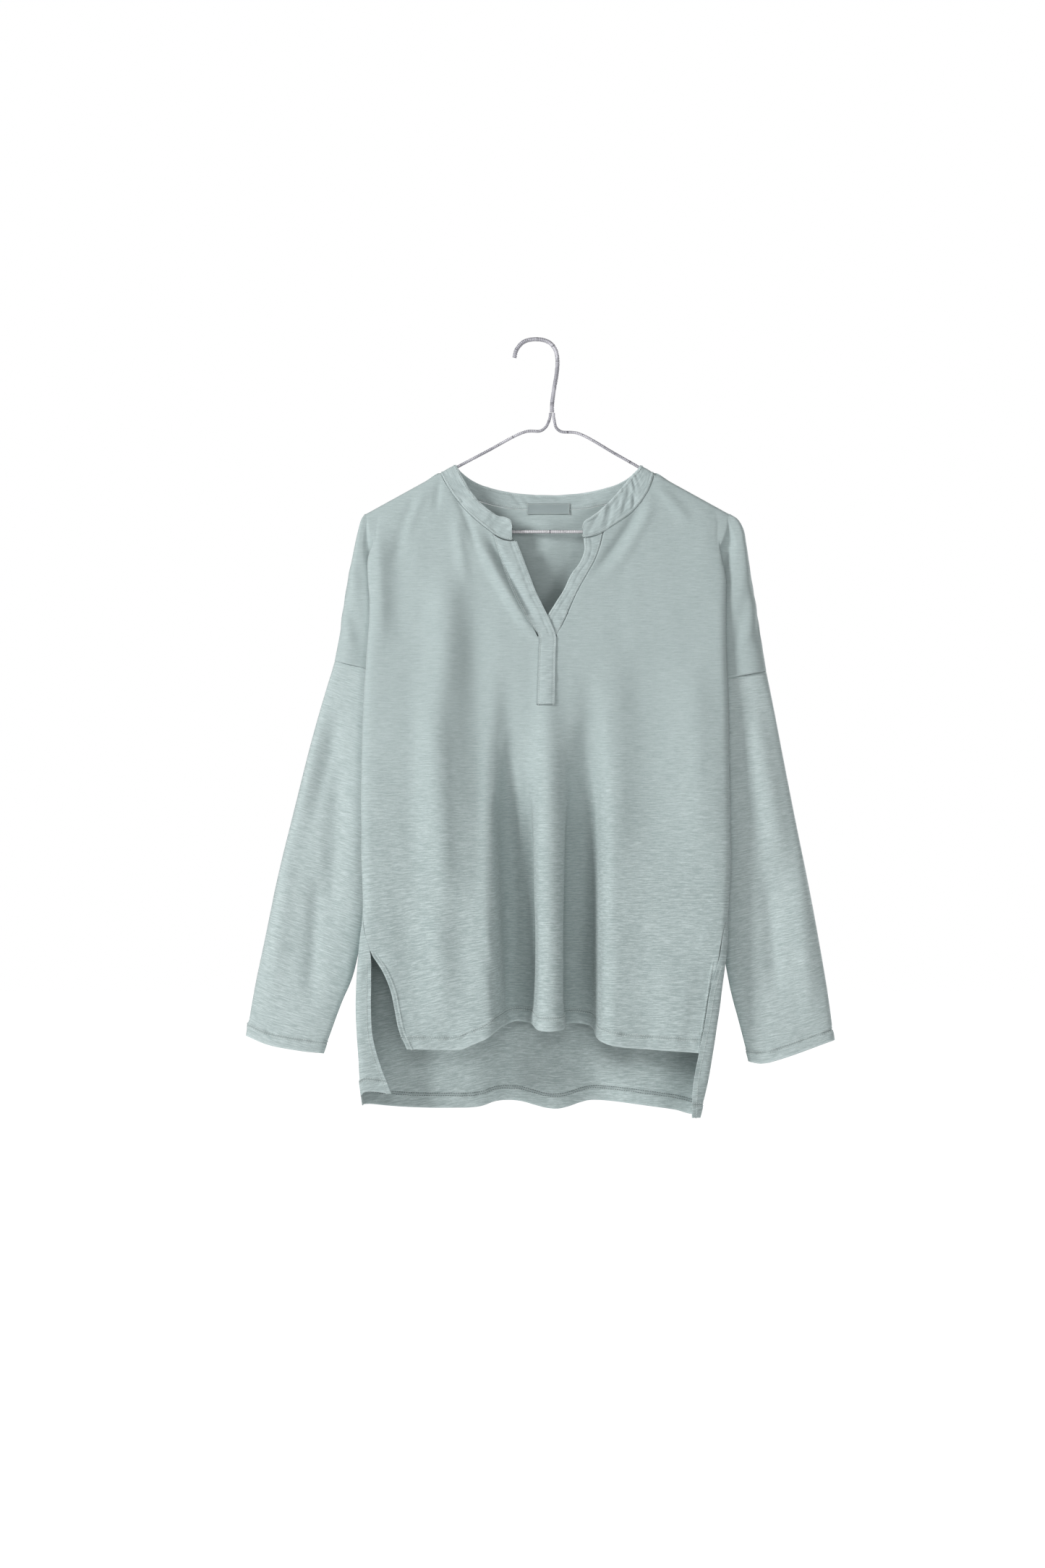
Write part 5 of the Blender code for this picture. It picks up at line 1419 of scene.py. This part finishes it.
top_heights = np.concatenate([notch_heights("left"), np.linspace(NOTCH_BOTTOM, RECTANGLE_BOTTOM, 6)[1:]])
under_heights = notch_heights("right")
under_heights[-1] += 0.0012
for layer, coarse, flat, seed in (
    ("top", strip_grid("left", top_heights, OVERLAY), (0.022, 0.200), 61),
    ("under", strip_grid("right", under_heights, 0.0), (0.0185, 0.125), 71),
):
    points = refined(coarse, cell=STRIP_CELL)[0]
    from_inner, from_outer = to_edge(points, 1), from_edge(points, 1)
    run = points[..., 2].mean(axis=1)[:, None]
    middle = bell(from_inner - STRIP_FOLD, 0.0009) * rise(run, NOTCH_BOTTOM, NOTCH_BOTTOM + 0.006)
    pucker = mottle((run + from_inner * 0.6) / 0.0050, from_inner / 0.010, seed) * 0.0006
    groove = bell(from_inner - NEEDLE_LINE, STITCH_GROOVE) + bell(from_outer - NEEDLE_LINE, STITCH_GROOVE)
    relief = pucker * (1 + middle) - 0.00045 * groove - 0.0006 * middle
    points = points + normals_of(points, FORWARD) * relief[..., None]
    points[..., 1] -= panel_relief("front", points[..., 0], points[..., 2])
    # Pale along the inner fold's wear; darker by painted shade along the outer edge and the middle fold line
    wear_and_painted_light = 0.7 * bell(from_inner, 0.0012) - 0.6 * bell(from_outer, 0.0010) - 0.25 * middle
    sideways = points.swapaxes(0, 1)
    stitched = [sideways, sideways[::-1]]
    if layer == "top":
        # Painted shadow along the top strip's bottom edge
        wear_and_painted_light -= 0.9 * bell(to_edge(points), 0.0010)
        stitched.append(points[:, 8:-8])
    lines = [line_over(grid, NEEDLE_LINE, NEEDLE_LIFT) for grid in stitched]
    thread = sewn(f"placket_stitches_{layer}", lines, pitch=0.0023)
    piece = cloth_piece(f"placket_cloth_{layer}", points, wear_and_painted_light)
    finished(piece, band_jersey, f"placket_{layer}")


# Neck label. A small woven tape, paler than the shirt, sewn inside the back neck and left bare.
# It lies on the creased cloth: each point takes the nearest of the cloth behind it.
LABEL_LEFT, LABEL_RIGHT = -0.0231, 0.0256
LABEL_TOP, LABEL_BOTTOM = -0.1823, -0.1945
LABEL_WALL = CLOTH * 0.8
LABEL_STITCHES = 0.0009
LABEL_CLEARANCE = CLOTH * 0.9 + 0.0005
columns, rows = np.linspace(LABEL_LEFT, LABEL_RIGHT, 25), np.linspace(LABEL_TOP, LABEL_BOTTOM, 9)
across, height = np.meshgrid(columns, rows)
points = np.stack([across, np.zeros_like(across), height], axis=-1)
behind = np.concatenate([collar_grid.reshape(-1, 3), back_grid.reshape(-1, 3)])
near = (np.abs(behind[:, 0]) < 0.060) & (np.abs(behind[:, 2] - LABEL_TOP) < 0.030)
behind = behind[near & (behind[:, 1] > 0.004)]
for row in points:
    apart = np.linalg.norm(row[:, None, [0, 2]] - behind[None, :, [0, 2]], axis=-1)
    share = 1 / (apart**2 + 1e-6) ** 2
    depth = (share * behind[:, 1]).sum(axis=1) / share.sum(axis=1)
    row[:, 1] = np.convolve(np.pad(depth, 2, mode="edge"), np.ones(5) / 5, mode="valid") - LABEL_CLEARANCE
label_tape, tree, shader = new_finish("woven label")
shader.inputs["Roughness"].default_value = 0.62
shader.inputs["Sheen Weight"].default_value = 0.1
place = add_node(tree, "ShaderNodeUVMap", {}, uv_map="cloth").outputs["UV"]
ripples = {"Vector": place, "Scale": 900.0, "Distortion": 1.5}
weave = add_node(tree, "ShaderNodeTexWave", ripples).outputs["Fac"]
tones = blended(tree, weave, (0.355, 0.432, 0.436), (0.415, 0.494, 0.498))
shown(tree, shader, tones, {"Height": weave, "Distance": 0.0002})
turned = points.swapaxes(0, 1)
grids = (points, points[::-1], turned, turned[::-1])
lines = [line_over(grid, LABEL_STITCHES, LABEL_WALL / 2 + 0.0001) for grid in grids]
label_thread = sewn("label_stitches", lines, pitch=0.0018)
piece = cloth_piece("label_cloth", points, np.zeros(across.shape), wall=LABEL_WALL)
finished(piece, label_tape, "neck_label")


# Hanger. One steel wire bent into two arms and a bar, and a thicker hook welded to its two ends,
# wound in a pale lilac-grey paper strip that is rubbed and marked.
HOOK_RADIUS = 0.00235
HALF_SPAN = 0.2045
CORNER_RADIUS = 0.0104
ARM_PLACES = (NECK_POINT, 0.138, 0.155, 0.172, 0.189)
RIB_PITCH = 0.0021
# Where the bar shows in the neck opening, wound thicker and paler
BAR_TOP, BAR_HALF, BAR_WINDING = -0.205, 0.12, 1.22
# The winding's edges, as a ripple of the wire's radius and its length
RIPPLE, RIPPLE_LENGTH = 0.02, 0.0011
# The wire's two ends, from the hook down to the arms, and the hook
LEFT_END = [(0.0033, -0.0806), (0.0030, -0.0850), (0.0012, -0.0910), (-0.0022, -0.0970), (-0.0080, -0.1010)]
LEFT_END += [(-0.0245, -0.1018), (-0.070, -0.1249)]
RIGHT_END = [(0.0069, -0.0806), (0.0071, -0.0850), (0.0081, -0.0905), (0.0098, -0.0970), (0.0150, -0.1015)]
RIGHT_END += [(0.0342, -0.1036), (0.078, -0.1276)]
HOOK = [(-0.0372, -0.0185), (-0.0345, -0.0090), (-0.0262, -0.0003), (-0.0110, HOOK_RADIUS), (0.0020, -0.0012)]
HOOK += [(0.0090, -0.0095), (0.0114, -0.0212), (0.0106, -0.0350), (0.0073, -0.0554), (0.0054, -0.0700)]
HOOK += [(0.0052, -0.0800)]


def arm_point(sign, outward):
    """A point of the wire's middle along an arm."""
    return sign * outward, ridge(outward) - RIDGE_RADIUS / ARM_COSINE


corner_x = HALF_SPAN - CORNER_RADIUS
corner_height = arm_point(1, corner_x)[1] - CORNER_RADIUS / ARM_COSINE


def hanger_side(sign):
    """Points of an arm and of the arc that joins it to the bar, from the neck down."""
    points = [arm_point(sign, outward) for outward in ARM_PLACES]
    for angle in np.linspace(math.atan2(1.0, SHOULDER_SLOPE), -math.pi / 2, 7):
        outward = corner_x + CORNER_RADIUS * math.cos(angle)
        points.append((sign * outward, corner_height + CORNER_RADIUS * math.sin(angle)))
    return points


def marked_wire():
    """The wound strip: its turns as ribs, rubbed pale and grey along the wire, with dark marks and specks."""
    material, tree, shader = new_finish("marked wire")
    shader.inputs["Metallic"].default_value = 0.15
    shader.inputs["Roughness"].default_value = 0.42
    length = add_node(tree, "ShaderNodeAttribute", {}, attribute_name="along").outputs["Fac"]
    place = add_node(tree, "ShaderNodeTexCoord", {}).outputs["Object"]

    def noise(vector, scale, detail=2.0):
        inputs = {"Vector": vector, "Scale": scale, "Detail": detail}
        return add_node(tree, "ShaderNodeTexNoise", inputs).outputs["Fac"]

    def over(colour, mask, start, end, strength, second):
        """The second colour laid over the first where a mask rises from start to end."""
        rising = {0: mask, 1: start, 2: end, 3: 0.0, 4: strength}
        eased = add_node(tree, "ShaderNodeMapRange", rising).outputs[0]
        return blended(tree, eased, colour, second)

    run = add_node(tree, "ShaderNodeCombineXYZ", {0: length}).outputs[0]
    ribs = worked_out(tree, "SINE", worked_out(tree, "MULTIPLY", length, 2 * math.pi / RIB_PITCH))
    height = add_node(tree, "ShaderNodeSeparateXYZ", {0: place}).outputs[2]
    colour = over((0.30, 0.30, 0.335), noise(run, 26.0, 3.0), 0.38, 0.62, 1.0, (0.60, 0.595, 0.64))
    colour = over(colour, height, -0.200, -0.206, 1.0, (0.66, 0.65, 0.67))
    colour = over(colour, ribs, 0.2, 1.0, 0.30, (0.20, 0.20, 0.23))
    colour = over(colour, noise(run, 150.0), 0.61, 0.67, 0.85, (0.07, 0.07, 0.085))
    colour = over(colour, noise(place, 420.0), 0.58, 0.70, 0.5, (0.14, 0.14, 0.16))
    shown(tree, shader, colour, {"Height": ribs, "Distance": 0.0003, "Strength": 0.5})
    return material


wire_finish = marked_wire()
bar = [(x, corner_height - CORNER_RADIUS) for x in np.linspace(-0.165, 0.165, 8)]
frame_route = LEFT_END + hanger_side(-1) + bar + hanger_side(1)[::-1] + RIGHT_END[::-1]
for name, route, radius, count, node in (
    ("hanger_wire", frame_route, WIRE_RADIUS, 620, "hanger_frame"),
    ("hanger_hook_wire", HOOK, HOOK_RADIUS, 200, "hanger_hook"),
):
    fine = on_path(np.array(route), np.linspace(0, len(route) - 1, 60 * len(route)), first=0.0)
    length = from_edge(fine)
    at = np.linspace(0.0, length[-1], count)
    curve = bpy.data.curves.new(name, "CURVE")
    curve.dimensions = "3D"
    curve.bevel_depth = radius
    curve.bevel_resolution = 4
    curve.use_fill_caps = True
    spline = curve.splines.new("POLY")
    spline.points.add(count - 1)
    for point, place in zip(spline.points, at):
        x, z = (float(np.interp(place, length, column)) for column in fine.T)
        point.co = (x + CENTRE_X, 0.0, z, 1.0)
        wound = BAR_WINDING if z < BAR_TOP and abs(x) < BAR_HALF else 1.0
        point.radius = wound + RIPPLE * math.sin(place / RIPPLE_LENGTH)
    centres = np.array([tuple(point.co)[:3] for point in spline.points])
    piece = meshed(name, placed(name + " route", curve))
    piece.data.materials.clear()
    skin = np.array([vertex.co for vertex in piece.data.vertices])
    nearest = np.linalg.norm(skin[:, None] - centres[None], axis=-1).argmin(axis=1)
    mask = piece.data.attributes.new("along", "FLOAT", "POINT")
    mask.data.foreach_set("value", at[nearest].astype(np.float32))
    finished(piece, wire_finish, node)


# Studio. A plain white floor below the shirt, a white room and wide soft lights, with the camera
# level with the middle of the shirt.
FLOOR_HEIGHT, FLOOR_REACH = -1.9, 30
AIM = Vector((0.0, 0.0, -0.5))
VIEW_HEIGHT, CAMERA_AWAY, SENSOR = 1.767, 6.0, 24.0
floor_mesh = bpy.data.meshes.new("floor")
corners = [(x * FLOOR_REACH, y * FLOOR_REACH, FLOOR_HEIGHT) for x, y in ((-1, -1), (1, -1), (1, 1), (-1, 1))]
floor_mesh.from_pydata(corners, [], [(0, 1, 2, 3)])
floor_paint, tree, shader = new_finish("floor paint")
shader.inputs["Base Color"].default_value = (0.80, 0.80, 0.80, 1.0)
shader.inputs["Roughness"].default_value = 0.9
shader.inputs["Specular IOR Level"].default_value = 0.0
shader.inputs["Emission Color"].default_value = (1.0, 1.0, 1.0, 1.0)
seen = add_node(tree, "ShaderNodeLightPath", {}).outputs["Is Camera Ray"]
tree.links.new(seen, shader.inputs["Emission Strength"])
floor_mesh.materials.append(floor_paint)
placed("floor", floor_mesh)

room = bpy.data.worlds.new("white room")
room.use_nodes = True
background = room.node_tree.nodes["Background"]
background.inputs["Color"].default_value = (1.0, 1.0, 1.0, 1.0)
seen = add_node(room.node_tree, "ShaderNodeLightPath", {}).outputs["Is Camera Ray"]
strength = add_node(room.node_tree, "ShaderNodeMapRange", {"Value": seen, "To Min": 0.19, "To Max": 1.0})
room.node_tree.links.new(strength.outputs[0], background.inputs["Strength"])
bpy.context.scene.world = room

for name, place, size, watts in (
    ("key light", (-3.0, -2.1, 0.9), 1.0, 116),
    ("front light", (-0.3, -5.2, 0.7), 1.2, 46),
    ("fill light", (1.6, -4.0, -1.2), 1.4, 30),
    ("back light", (3.0, 2.6, 0.9), 1.4, 100),
    ("rear fill light", (-0.6, 4.8, 0.5), 1.4, 60),
):
    lamp = bpy.data.lights.new(name, "AREA")
    lamp.size = size
    lamp.energy = watts
    light = placed(name, lamp)
    light.location = place
    light.rotation_euler = (AIM - Vector(place)).to_track_quat("-Z", "Y").to_euler()

camera_data = bpy.data.cameras.new("camera")
camera_data.sensor_fit = "VERTICAL"
camera_data.sensor_height = SENSOR
camera_data.lens = SENSOR * CAMERA_AWAY / VIEW_HEIGHT
camera = placed("camera", camera_data)
camera.location = (-0.0171, -CAMERA_AWAY, -0.4988)
camera.rotation_euler = (math.pi / 2, 0.0, 0.0)
bpy.context.scene.camera = camera
bpy.context.scene.view_settings.view_transform = "Standard"
